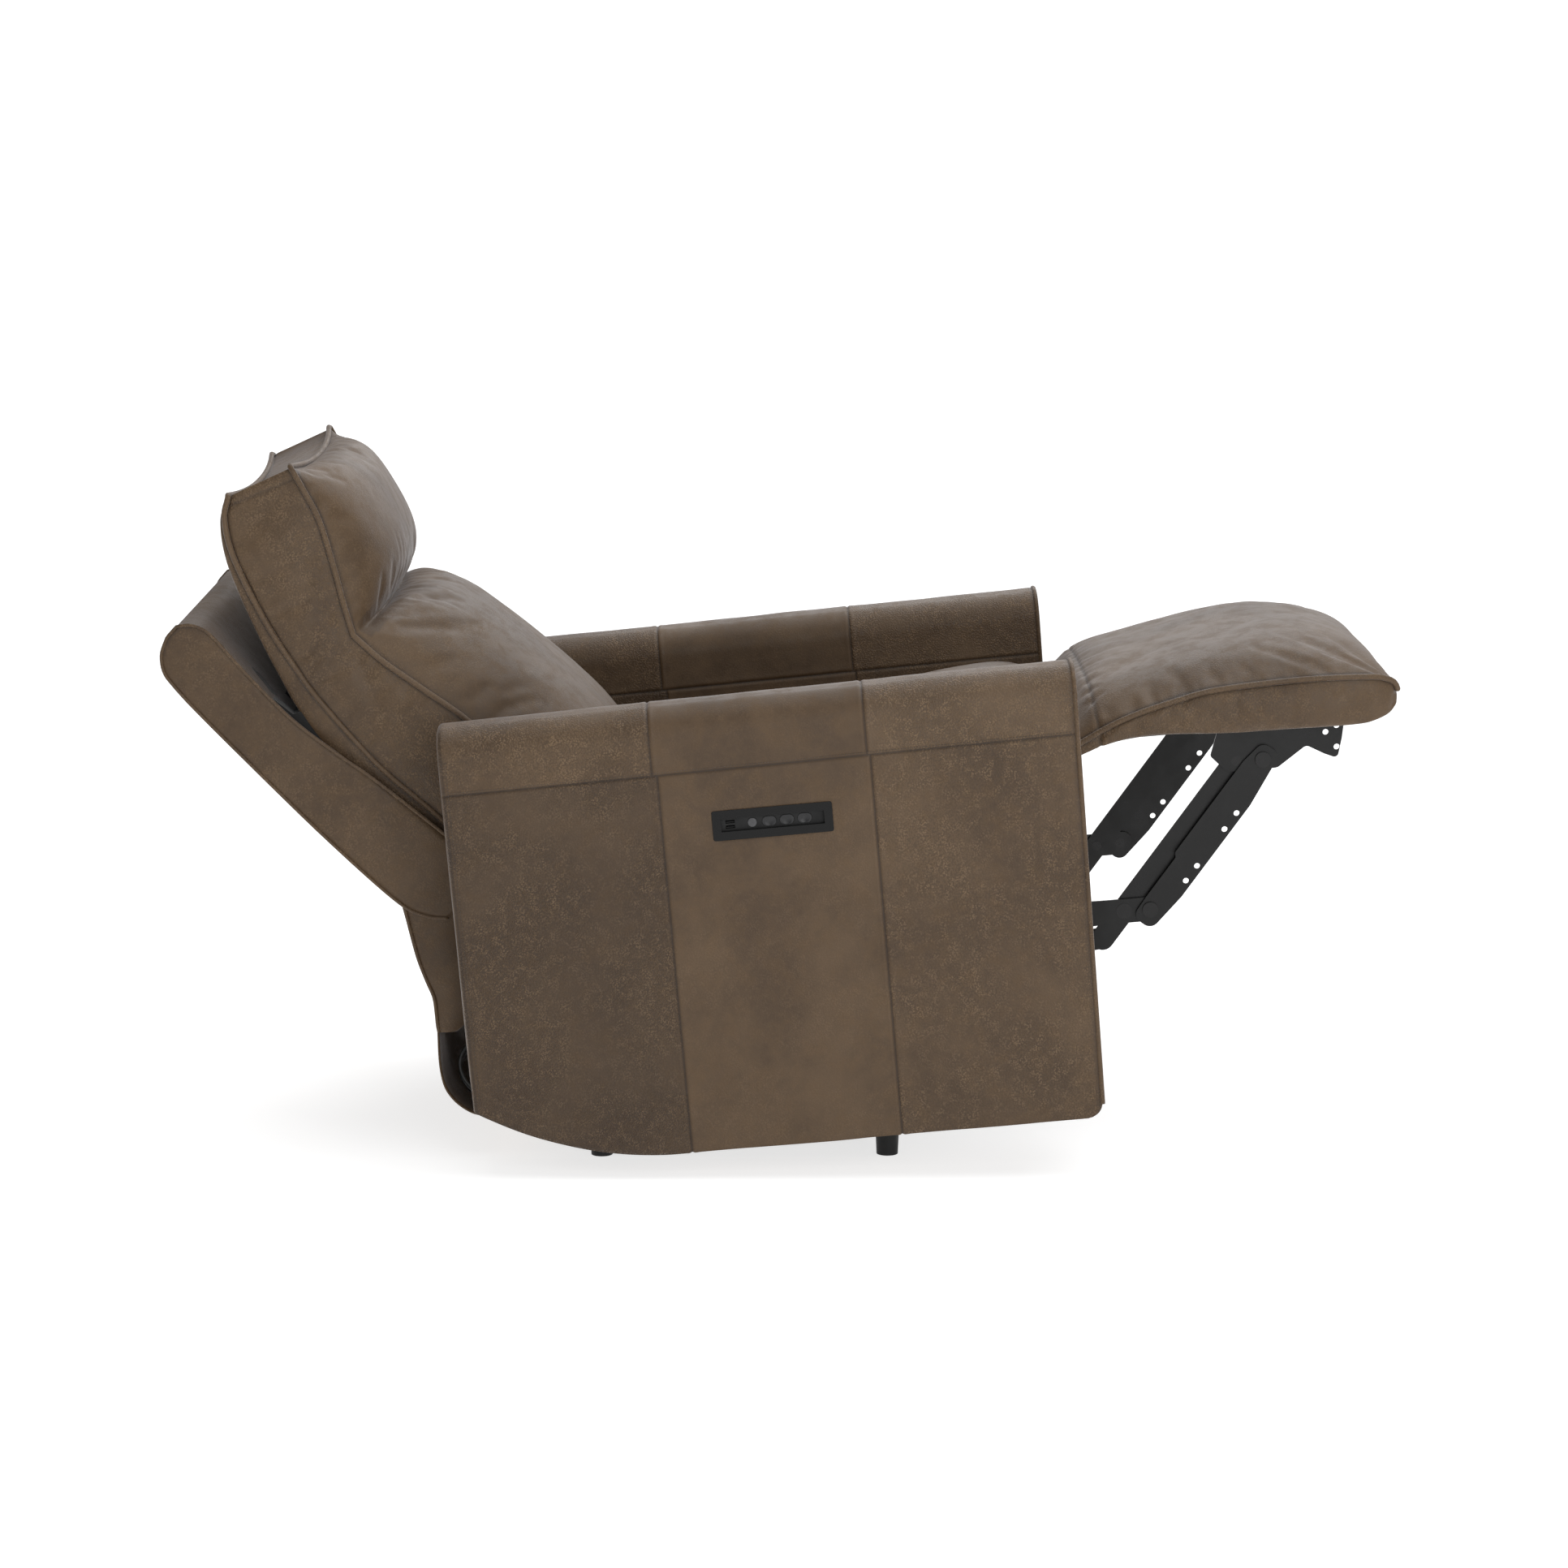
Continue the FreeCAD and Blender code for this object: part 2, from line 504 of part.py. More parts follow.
def footrest_links():
    """Double four-bar linkage, the same each side: lower, support, guide and rear links."""
    lower = slab([(-20, -20, 18), (60, -20, 10), (LOWER_LINK - 60, -LINK_HALF), (LOWER_LINK + 18, -LINK_HALF, 14),
                  (LOWER_LINK + 18, LINK_HALF, 14), (LOWER_LINK - 60, LINK_HALF), (-20, 20, 18)],
                 LOWER_X, LOWER_X + STEEL, LOWER)
    lower = lower.cut(disc((0, 0), PIN + RUN, LOWER_X - 1, LOWER_X + STEEL + 1, LOWER))
    rivets = []
    for along in (LOWER_LINK, LOWER_LINK - LINK_OFFSET):
        lower = lower.cut(disc((along, 0), LINK_PIN, LOWER_X - 1, LOWER_X + STEEL + 1, LOWER))
    rivets.append(disc((LOWER_LINK, 0), LINK_PIN, LOWER_X, SUPPORT_X + STEEL + 1, LOWER)
                  .fuse(disc((LOWER_LINK, 0), LINK_PIN + 4, SUPPORT_X + STEEL + 0.3, SUPPORT_X + STEEL + 3, LOWER)))
    rivets.append(disc((LOWER_LINK - LINK_OFFSET, 0), LINK_PIN, GUIDE_X - FLUSH, LOWER_X + STEEL, LOWER)
                  .fuse(disc((LOWER_LINK - LINK_OFFSET, 0), LINK_PIN + 4, LOWER_X + STEEL,
                             LOWER_X + STEEL + FLUSH, LOWER)))
    keep("lower_links", both(lower))
    keep("lower_link_rivets", both_of([r.removeSplitter() for r in rivets]))

    tube = disc((0, 0), CROSS_TUBE, -LOWER_X, LOWER_X, LOWER)
    tube = tube.fuse(lever(Side(LINK_PIVOT, -45), FOOT_DRIVE_LEVER, DRIVE_X))
    tube = tube.cut(disc((0, 0), PIN + RUN, LOWER_X - 2, LOWER_X, LOWER))
    tube = tube.cut(disc((0, 0), PIN + RUN, -LOWER_X, -LOWER_X + 2, LOWER))
    keep("footrest_cross_tube", tube.removeSplitter())

    support = slab([(-22, -18, 14), (40, -STRAP_HALF, 6), (SUPPORT_LINK - 62, -STRAP_HALF, 6),
                    (SUPPORT_LINK + 20, -15, 14), (SUPPORT_LINK + 20, 15, 14), (SUPPORT_LINK - 18, STRAP_HALF - 4, 6),
                    (86, STRAP_HALF - 4, 3), (80, STRAP_HALF - 9, 3), (10, STRAP_HALF - 9, 6), (-22, 14, 12)],
                   SUPPORT_X, SUPPORT_X + STEEL, SUPPORT)
    for along in (0, SUPPORT_LINK):
        support = support.cut(disc((along, 0), LINK_PIN + RUN, SUPPORT_X - 1, SUPPORT_X + STEEL + 1, SUPPORT))
    for along in (62, 88, 152, 180):
        support = support.cut(disc((along, -STRAP_HALF + 8.5), HOLE, SUPPORT_X - 1, SUPPORT_X + STEEL + 1, SUPPORT))
    keep("support_links", both(support))

    guide = strap(SUPPORT_LINK, LINK_HALF - 1, GUIDE_X, GUIDE, tail=GUIDE_TAIL,
                  holes=[(0, 0, LINK_PIN + RUN), (SUPPORT_LINK, 0, LINK_PIN + RUN)])
    tail_pin = disc((-GUIDE_TAIL, 0), 4.5, REAR_X - 1, GUIDE_X + STEEL, GUIDE)
    keep("guide_links", both(guide.fuse(tail_pin).removeSplitter()))

    rear = strap(REAR_LENGTH, LINK_HALF - 2, REAR_X, REAR,
                 holes=[(0, 0, DRIVE_PIN + RUN), (REAR_LENGTH, 0, 4.5 + OPEN_PLAY)])
    keep("rear_links", both(rear))


def footrest():
    """Brackets, channels, board, padded top and the two return springs."""
    top = BOARD_BOTTOM - FOOTREST_PIVOT[1]
    fork = slab([(-72, 10, 5), (-58, top), (100, top), (118, top, 6), (112, 20, 6), (104, -8, 6), (86, 0, 4),
                 (62, 14, 8), (20, -14, 12), (-LINK_OFFSET - 14, -14, 12)], LOWER_X, LOWER_X + STEEL, FOOTREST)
    rivets = []
    for along, x0, x1, head in ((0, LOWER_X, SUPPORT_X + STEEL + 1, 1), (-LINK_OFFSET, GUIDE_X - 0.7,
                                                                        LOWER_X + STEEL, -1)):
        fork = fork.cut(disc((along, 0), LINK_PIN, LOWER_X - 1, LOWER_X + STEEL + 1, FOOTREST))
        pin = disc((along, 0), LINK_PIN, x0, x1, FOOTREST)
        if head > 0:
            pin = pin.fuse(disc((along, 0), LINK_PIN + 4, SUPPORT_X + STEEL + 0.3, SUPPORT_X + STEEL + 3, FOOTREST))
        else:
            pin = pin.fuse(disc((along, 0), LINK_PIN + 4, GUIDE_X - 3, GUIDE_X - 0.3, FOOTREST))
        rivets.append(pin.removeSplitter())
    for along, across in ((90, 30), (104, 8), (106, 38)):
        fork = fork.cut(disc((along, across), HOLE, LOWER_X - 1, LOWER_X + STEEL + 1, FOOTREST))
    flange = box(690, 860, BOARD_BOTTOM - STEEL, BOARD_BOTTOM, LOWER_X - 28, LOWER_X)
    keep("footrest_brackets", both(fork.fuse(flange).removeSplitter()))
    screws = []
    for forward in (705, 775, 845):
        screws.append(disc_up(forward, LOWER_X - 15, BOARD_BOTTOM - STEEL - 3, BOARD_BOTTOM - STEEL, 5))
    keep("footrest_rivets", both_of(rivets + screws))
    start, end = (FOOTREST_PIVOT[0] + 48, BOARD_BOTTOM - 14), (FOOTREST_PIVOT[0] + 92, BOARD_BOTTOM - 14)
    spring = bar_along(start, end, 5, LOWER_X - 7)
    for forward, up in (start, end):
        spring = spring.fuse(disc((forward, up), 1.5, LOWER_X - 7, LOWER_X))
    keep("footrest_springs", both(spring))

    board = box(BOARD_REAR, BOARD_FRONT, BOARD_BOTTOM, BOARD_BOTTOM + BOARD, -BOARD_HALF, BOARD_HALF)
    keep("footrest_board", board)
    inner = ARM_INNER - BACK_GAP
    edge = [(510, 531), (566, 534), (644, 534), (800, 534), (919, 536), (942, 553),
            (942, 572), (937, 584), (916, 594), (804, 600), (692, 596), (579, 572), (510, 544)]
    crown = [(512, 545), (566, 534), (644, 534), (800, 534), (921, 536), (952, 551),
             (966, 566), (950, 592), (903, 632), (800, 660), (700, 656), (608, 640), (528, 600)]
    pad = crowned([(-inner, edge), (-inner + 110, crown), (inner - 110, crown), (inner, edge)])
    keep("footrest_pad", pad.cut(box(BOARD_REAR, BOARD_FRONT, BOARD_BOTTOM - 20, BOARD_BOTTOM + BOARD,
                                     -BOARD_HALF, BOARD_HALF)))


def disc_up(forward, x, z0, z1, radius):
    return Part.makeCylinder(radius, z1 - z0, LEVEL.at(forward, z0, x))


# ================================================================ back
POST_REAR, POST_FRONT = -246.0, -134.0
POST_BOTTOM, POST_TOP = 60.0, 636.0
BACK_HALF = 285.0
SHELL_HALF = ARM_INNER - BACK_GAP
SHELL_REAR, SHELL_TOP = -257.0, 670.0
HEAD_POST = 455.0            # posts are shallower above this, behind the headrest
HEAD_LEVER = 50.0
HEAD_X = 60.0
HEAD_DRIVE_HALF = 10.5
HEAD_DRIVE_ACROSS = HEADREST_ACROSS - HEAD_LEVER * (1 + math.cos(math.radians(HEADREST_LEAN / 2))) / 2


def back():
    post = slab([(POST_BOTTOM, POST_REAR), (POST_TOP, POST_REAR), (POST_TOP, -190), (HEAD_POST + 20, -170),
                 (HEAD_POST, POST_FRONT), (POST_BOTTOM, POST_FRONT)], RAIL_INNER, RAIL_OUTER, BACK)
    frame = both(post)
    for u0, u1, v0, v1 in ((600, 636, -240, -192), (440, 476, -236, -172), (330, 370, -240, -190),
                           (75, 115, -220, -160)):
        frame.append(box(u0, u1, v0, v1, -RAIL_INNER, RAIL_INNER, BACK))
    frame.append(box(335, 365, -190, HEAD_DRIVE_ACROSS - HEAD_DRIVE_HALF, HEAD_X - 18, HEAD_X + 18, BACK))
    keep("back_frame", frame)

    x = RAIL_OUTER + 1.0
    hinge_arm = slab([(-20, 20, 18), (26, 20, 18), (150, POST_FRONT - 10, 20), (150, POST_REAR + 30, 20),
                      (64, POST_REAR + 10, 20), (40, -140, 20), (-20, -24, 18)], x, x + STEEL, BACK)
    hinge_arm = hinge_arm.cut(disc((0, 0), PIN + RUN, x - 1, x + STEEL + 1, BACK))
    for along in (90, 125):
        hinge_arm = hinge_arm.fuse(disc((along, POST_REAR + 60), 7, RAIL_OUTER, x, BACK))
    keep("back_hinge_arms", both(hinge_arm.removeSplitter()))
    bracket = slab([(-176, 300), (-92, 300), (-92, 370), (BACK_PIVOT[0] + 22, BACK_PIVOT[1] + 22, 21),
                    (BACK_PIVOT[0] - 22, BACK_PIVOT[1] + 22, 21), (-176, 370)], HINGE_PLATE_X, HINGE_PLATE_X + STEEL)
    bracket = bracket.cut(disc(BACK_PIVOT, PIN, HINGE_PLATE_X - 1, HINGE_PLATE_X + STEEL + 1))
    bracket = bracket.fuse(box(-170, -100, 302, 350, RAIL_OUTER, HINGE_PLATE_X))
    keep("back_hinge_brackets", both(bracket.removeSplitter()))
    keep("back_hinge_pins", both(disc(BACK_PIVOT, PIN, x - 0.5, HINGE_PLATE_X + STEEL)))

    crank = lever(Side(BACK_PIVOT, -90 + BACK_TRAVEL / 2), RECLINE_LEVER, -DRIVE_X)
    tube = disc(BACK_PIVOT, CROSS_TUBE, -RAIL_INNER + 1, RAIL_INNER - 1).fuse(crank)
    tie = slab([(-14, 14, 8), (14, 14, 8), (20, -138), (112, -142), (112, -160), (-4, -160)], 228, 234, BACK)
    ties = both(tie.cut(disc((0, 0), CROSS_TUBE, 227, 235, BACK)))
    keep("recline_cross_tube", [tube.removeSplitter()] + ties)

    straps = [box(u, u + 50, POST_FRONT, POST_FRONT + STRAP, -RAIL_OUTER, RAIL_OUTER, BACK)
              for u in (110, 200, 290, 380)]
    keep("back_webbing", straps)

    rim = 8.5
    outer = [(125, -226, 10), (196, SHELL_REAR, 20), (610, SHELL_REAR, 60), (SHELL_TOP + 8, -226, 24),
             (SHELL_TOP + 4, -176, 22), (600, -170), (480, -176), (396, -160), (330, -150), (160, -136)]
    shell = slab(outer, -SHELL_HALF, SHELL_HALF, BACK)
    cavity = slab([(40, SHELL_REAR + 9), (POST_TOP + 1, SHELL_REAR + 9), (POST_TOP + 1, -40), (40, -40)],
                  -SHELL_HALF + rim, SHELL_HALF - rim, BACK)
    keep("back_shell", shell.cut(cavity))

    rear = POST_FRONT + STRAP

    def section(sink):
        return [(30, rear), (462, rear), (468, -100), (472, -30 - sink * 0.3), (484, 42 - sink * 0.9),
                (468, 62 - sink * 0.9), (437, 74 - sink), (381, 84 - sink), (295, 94 - sink),
                (234, 100 - sink), (164, 94 - sink), (90, 80 - sink), (sink * 0.3, 58 - sink * 0.9),
                (2 + sink * 0.3, 34 - sink * 0.7), (20 + sink * 0.2, 24 - sink * 0.5), (28, -30 - sink * 0.3)]

    keep("back_cushion", crowned([(-BACK_HALF, section(100)), (-BACK_HALF + 90, section(18)),
                                  (BACK_HALF - 90, section(18)), (BACK_HALF, section(100))], BACK))






def headrest():
    """Hinge on the back, padded headrest and the small drive that tips it."""
    hub_v = HEADREST_ACROSS
    ears = [slab([(450, -172), (500, -172), (HEADREST_ALONG + 14, hub_v + 12, 10), (HEADREST_ALONG - 12, hub_v + 12, 10)],
                 x, x + STEEL, BACK) for x in (124.0, 200.0)]
    ears = [e.cut(disc((HEADREST_ALONG, hub_v), 6, 100, 215, BACK)) for e in ears]
    keep("headrest_hinge", both_of(ears) + [disc((0, 0), 6, -206, 206, HEADREST)])

    frame = box(24, 220, -60, -57, -200, 200, HEADREST)
    for x in (118.0, 190.0):
        arm = slab([(-9, 9, 8), (9, 9, 8), (15, -57.5), (70, -60), (70, -64), (-9, -64, 8)], x, x + STEEL, HEADREST)
        for copy in both(arm):
            frame = frame.fuse(copy)
    crank_side = Side(BACK.flat(HEADREST_ALONG, hub_v), BACK_ANGLE + 90 - HEADREST_LEAN / 2)
    crank = lever(crank_side, HEAD_LEVER, HEAD_X)
    tube = disc((0, 0), 11, -119, 119, HEADREST)
    frame = frame.fuse(crank).fuse(tube).cut(disc((0, 0), 6 + RUN, -210, 210, HEADREST))
    keep("headrest_frame", frame.removeSplitter())

    pin = crank_side.flat(HEAD_LEVER, 0)
    pin_u = HEADREST_ALONG + HEAD_LEVER * math.sin(math.radians(HEADREST_LEAN / 2))
    middle = HEAD_DRIVE_ACROSS
    assert abs(BACK.flat(pin_u, middle)[0] - pin[0]) < 2.0
    drive("headrest", 400.0, 250.0, (yoke((pin_u, middle), middle, 1.0, 1, HEAD_X, BACK), pin_u - 40),
          middle, HEAD_X, motor_across=middle - 30, inward=HEAD_LEVER * math.radians(HEADREST_LEAN),
          side=BACK, half=HEAD_DRIVE_HALF)

    edge = [(18, -57), (262, -57), (268, -40), (266, 40), (262, 58), (191, 66), (70, 60), (20, 58)]
    crown = [(18, -57), (262, -57), (270, -40), (272, 60), (258, 110), (200, 136), (80, 138), (30, 92)]
    half = BACK_HALF - 3
    keep("headrest_pillow", crowned([(-half, edge), (-half + 110, crown), (half - 110, crown), (half, edge)],
                                    HEADREST))


# ================================================================ rear skirt and leads
SKIRT = 5.0
LEAD = 3.0


def rear_skirt():
    """Leather flap that closes the gap under the back, and the two leads that run inside it."""
    path = [(-452, 396), (-440, 318), (-424, 262), (-424, 160), (-410, 118), (-378, 90), (-346, 96)]
    outer = [(f, z, 14) if 0 < i < len(path) - 1 else (f, z) for i, (f, z) in enumerate(path)]
    inner = [(f + SKIRT, z + 1.5, 10) if 0 < i < len(path) - 1 else (f + SKIRT * (i == 0), z + SKIRT * (i > 0))
             for i, (f, z) in enumerate(path)]
    flap = slab(outer + inner[::-1], -SHELL_HALF + 4, SHELL_HALF - 4)
    keep("rear_skirt", flap)


def tube_path(points, radius):
    """A round lead along points (x, forward, up): straight runs joined by tangent arcs."""
    corners = [LEVEL.at(f, z, x) for x, f, z in points]
    edges, last = [], corners[0]
    for before, here, after in zip(corners, corners[1:], corners[2:]):
        back, ahead = (before - here), (after - here)
        shorter = min(back.Length, ahead.Length)
        back.normalize()
        ahead.normalize()
        half = back.getAngle(ahead) / 2
        reach = 0.45 * shorter
        bend = reach * math.tan(half)
        print("lead bend radius", round(bend, 1))
        middle = here + (back + ahead).normalize() * (bend / math.sin(half) - bend)
        start, end = here + back * reach, here + ahead * reach
        edges += [Part.LineSegment(last, start).toShape(), Part.Arc(start, middle, end).toShape()]
        last = end
    edges.append(Part.LineSegment(last, corners[-1]).toShape())
    path = Part.Wire(edges)
    direction = corners[1] - corners[0]
    ring = Part.Wire([Part.Circle(corners[0], direction, radius).toShape()])
    lead = path.makePipeShell([ring], True, False)
    print("lead length", round(path.Length), "volume ratio",
          round(lead.Volume / (math.pi * radius ** 2 * path.Length), 4))
    return lead


def leads():
    """Two supply leads held in the gap behind the right arm, clipped to the bottom rail."""
    upper = [(-262, -330, 150), (-262, -330, 180), (-268, -356, 196), (-272, -380, 190), (-275, -396, 172),
             (-276, -398, 150), (-275, -388, 128), (-272, -370, 112), (-272, -345, 112)]
    lower = [(-240, -330, 150), (-240, -330, 176), (-248, -352, 188), (-254, -374, 184), (-259, -392, 168),
             (-262, -400, 148), (-262, -394, 126), (-258, -374, 104), (-258, -345, 104)]
    keep("supply_lead_upper", tube_path(upper, LEAD))
    keep("supply_lead_lower", tube_path(lower, LEAD))


# ================================================================ build
def main():
    base()
    arms()
    control_panel()
    seat_box()
    side_plates()
    drives()
    footrest_links()
    footrest()
    back()
    headrest()
    rear_skirt()
    leads()
    spans = [shape.BoundBox for shape in NODES.values()]
    centre = (min(b.YMin for b in spans) + max(b.YMax for b in spans)) / 2
    os.makedirs("parts", exist_ok=True)
    for name, shape in NODES.items():
        shape.translate(V(0, -centre, 0))
        shape.exportStep("parts/" + name + ".step")
    turn = FreeCAD.Rotation(V(1, 0, 0), -BODY_TILT)
    foot = LEVEL.at(*TILT_PIVOT)
    print("nodes", len(NODES))
    print("shift", round(-centre, 4))
    for name, point in (("tilt", TILT_PIVOT), ("back", BACK_PIVOT), ("headrest", HEADREST.flat(0, 0)),
                        ("lower", LINK_PIVOT), ("support", SUPPORT.flat(0, 0)), ("guide", GUIDE.flat(0, 0)),
                        ("rear", REAR_PIVOT), ("footrest", FOOTREST_PIVOT)):
        spot = foot + turn.multVec(LEVEL.at(*point) - foot) + V(0, -centre, 0)
        print("pivot", name, round(spot.y, 4), round(spot.z, 4))


main()
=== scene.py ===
"""Power recliner armchair in brown nubuck leather, shown leaned back with the footrest out.

Side-view sizes are millimetres, (forward, up) of the upholstered body before it is tilted back
on its base.  The back and the headrest have side-view frames of their own.
"""
import json
import math

import bpy
import numpy as np
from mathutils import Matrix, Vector, noise


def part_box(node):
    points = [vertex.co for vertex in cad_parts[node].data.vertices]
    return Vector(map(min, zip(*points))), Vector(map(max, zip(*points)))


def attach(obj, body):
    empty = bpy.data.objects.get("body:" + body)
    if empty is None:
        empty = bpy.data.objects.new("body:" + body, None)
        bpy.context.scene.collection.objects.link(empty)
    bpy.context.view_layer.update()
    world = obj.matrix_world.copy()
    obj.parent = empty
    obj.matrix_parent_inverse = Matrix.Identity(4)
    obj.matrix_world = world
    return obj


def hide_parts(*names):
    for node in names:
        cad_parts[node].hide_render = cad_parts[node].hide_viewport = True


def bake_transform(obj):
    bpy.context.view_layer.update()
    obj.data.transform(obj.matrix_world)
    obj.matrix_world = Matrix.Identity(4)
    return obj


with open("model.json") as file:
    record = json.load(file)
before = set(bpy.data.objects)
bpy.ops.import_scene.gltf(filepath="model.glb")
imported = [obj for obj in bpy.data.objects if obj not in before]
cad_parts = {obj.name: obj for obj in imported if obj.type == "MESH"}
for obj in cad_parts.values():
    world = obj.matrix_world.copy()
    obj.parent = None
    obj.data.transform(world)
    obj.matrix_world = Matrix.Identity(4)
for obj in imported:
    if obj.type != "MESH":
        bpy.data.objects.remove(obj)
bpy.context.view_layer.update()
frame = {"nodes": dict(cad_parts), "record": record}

# ------------------------------------------------------------------ sizes shared with the CAD model (mm)
MM = 0.001
CENTRE_SHIFT = 79.7956        # the tilt pivot, behind the middle of the part
TILT_HEIGHT = 330.0
BODY_TILT = math.radians(5.0)
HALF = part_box("left_arm_cover")[1].x / MM
ARM_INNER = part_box("left_arm_cover")[0].x / MM
ARM_MIDDLE = 373.5
ARM_REAR, ARM_FRONT = -372.0, 490.0
ARM_BOTTOM, ARM_TOP_REAR, ARM_TOP_FRONT = 44.0, 655.0, 668.0
BACK_PIVOT, BACK_ANGLE = (-140.0, 420.0), 130.0
PANEL_REAR, PANEL_FRONT, PANEL_BOTTOM, PANEL_TOP = -12.0, 151.0, 473.0, 514.0
BACK_HALF = 285.0
SHELL_HALF = 300.0
PAD_HALF = 300.0
SEAT_HALF = 308.0
CLOTH_WALL, DECK_WALL, HIDE_WALL = 0.0010, 0.0012, 0.0024    # metres


def body_point(x, forward, up):
    """World point (metres) of a body point (mm)."""
    y, z = -forward, up - TILT_HEIGHT
    return ((x * MM),
            (y * math.cos(BODY_TILT) + z * math.sin(BODY_TILT) + CENTRE_SHIFT) * MM,
            (TILT_HEIGHT - y * math.sin(BODY_TILT) + z * math.cos(BODY_TILT)) * MM)


class Side:
    """A side-view frame on the body: origin, direction, and which way its second axis points."""

    def __init__(self, origin=(0.0, 0.0), angle=0.0, flip=1):
        self.origin = origin
        self.along = (math.cos(math.radians(angle)), math.sin(math.radians(angle)))
        self.across = (-flip * self.along[1], flip * self.along[0])

    def flat(self, a, b):
        return (self.origin[0] + a * self.along[0] + b * self.across[0],
                self.origin[1] + a * self.along[1] + b * self.across[1])

    def at(self, a, b, x=0.0):
        return body_point(x, *self.flat(a, b))


LEVEL = Side()
BACK = Side(BACK_PIVOT, BACK_ANGLE, -1)

# ------------------------------------------------------------------ camera
SCENE = bpy.context.scene
CAMERA_AT = (-6.146, 0.0624, 1.5704)
CAMERA_PITCH, CAMERA_YAW = math.radians(10.12), math.radians(0.53)


def make_camera():
    data = bpy.data.cameras.new("camera")
    data.sensor_width, data.lens = 36.0, 99.06
    data.clip_start, data.clip_end = 0.1, 60.0
    camera = bpy.data.objects.new("camera", data)
    SCENE.collection.objects.link(camera)
    look = Vector((math.cos(CAMERA_PITCH) * math.cos(CAMERA_YAW),
                   -math.cos(CAMERA_PITCH) * math.sin(CAMERA_YAW), -math.sin(CAMERA_PITCH)))
    camera.location = CAMERA_AT
    camera.rotation_mode = "QUATERNION"
    camera.rotation_quaternion = look.to_track_quat("-Z", "Y")
    SCENE.camera = camera


make_camera()


# ------------------------------------------------------------------ node helpers
class Nodes:
    """Short ways to add and join shader nodes."""

    def __init__(self, name):
        self.material = bpy.data.materials.new(name)
        self.material.use_nodes = True
        self.tree = self.material.node_tree
        self.tree.nodes.clear()
        self.shader = self.add("ShaderNodeBsdfPrincipled")
        self.join(self.shader.outputs[0], self.add("ShaderNodeOutputMaterial").inputs["Surface"])
        self.place = self.add("ShaderNodeTexCoord").outputs["Object"]

    def add(self, kind, **settings):
        node = self.tree.nodes.new(kind)
        for key, value in settings.items():
            setattr(node, key, value)
        return node

    def join(self, source, target):
        self.tree.links.new(source, target)

    def put(self, target, value):
        if isinstance(value, bpy.types.NodeSocket):
            self.join(value, target)
        else:
            target.default_value = value

    def cloud(self, scale, detail=4.0, rough=0.55, stretch=None, lumps=0.0):
        """Noise, 0 to 1, in object coordinates."""
        node = self.add("ShaderNodeTexNoise")
        node.inputs["Scale"].default_value = scale
        node.inputs["Detail"].default_value = detail
        node.inputs["Roughness"].default_value = rough
        node.inputs["Distortion"].default_value = lumps
        place = self.place
        if stretch:
            turn = self.add("ShaderNodeMapping")
            turn.inputs["Scale"].default_value = stretch
            self.join(place, turn.inputs["Vector"])
            place = turn.outputs[0]
        self.join(place, node.inputs["Vector"])
        return node.outputs["Fac"]

    def cells(self, scale, feature="F1", smooth=None):
        node = self.add("ShaderNodeTexVoronoi", feature=feature)
        node.inputs["Scale"].default_value = scale
        if smooth is not None:
            node.inputs["Smoothness"].default_value = smooth
        warp = self.add("ShaderNodeVectorMath", operation="MULTIPLY_ADD")
        wander = self.add("ShaderNodeTexNoise")
        wander.inputs["Scale"].default_value = scale * 0.35
        wander.inputs["Detail"].default_value = 1.0
        self.join(self.place, wander.inputs["Vector"])
        self.join(wander.outputs["Color"], warp.inputs[0])
        warp.inputs[1].default_value = (0.9 / scale,) * 3
        self.join(self.place, warp.inputs[2])
        self.join(warp.outputs[0], node.inputs["Vector"])
        return node.outputs["Distance"]

    def ramp(self, value, low, high, low_to=0.0, high_to=1.0):
        node = self.add("ShaderNodeMapRange", interpolation_type="SMOOTHSTEP")
        self.join(value, node.inputs["Value"])
        node.inputs["From Min"].default_value = low
        node.inputs["From Max"].default_value = high
        self.put(node.inputs["To Min"], low_to)
        self.put(node.inputs["To Max"], high_to)
        return node.outputs[0]

    def sum(self, kind, a, b):
        node = self.add("ShaderNodeMath", operation=kind)
        self.put(node.inputs[0], a)
        self.put(node.inputs[1], b)
        return node.outputs[0]

    def mix(self, factor, first, second, blend="MIX"):
        node = self.add("ShaderNodeMix", data_type="RGBA", blend_type=blend)
        self.put(node.inputs["Factor"], factor)
        for name, value in (("A", first), ("B", second)):
            socket = [s for s in node.inputs if s.name == name and s.type == "RGBA"][0]
            self.put(socket, value)
        return [s for s in node.outputs if s.type == "RGBA"][0]

    def attribute(self, name):
        return self.add("ShaderNodeAttribute", attribute_name=name).outputs["Fac"]

    def bump(self, height, distance, strength=1.0, normal=None):
        node = self.add("ShaderNodeBump")
        node.inputs["Strength"].default_value = strength
        node.inputs["Distance"].default_value = distance
        self.join(height, node.inputs["Height"])
        if normal is not None:
            self.join(normal, node.inputs["Normal"])
        return node.outputs[0]

    def finish(self, color, roughness, normal=None, **sockets):
        self.put(self.shader.inputs["Base Color"], color)
        self.put(self.shader.inputs["Roughness"], roughness)
        if normal is not None:
            self.join(normal, self.shader.inputs["Normal"])
        for name, value in sockets.items():
            self.put(self.shader.inputs[name.replace("_", " ")], value)
        return self.material


def rgb(*linear):
    return (*linear, 1.0)


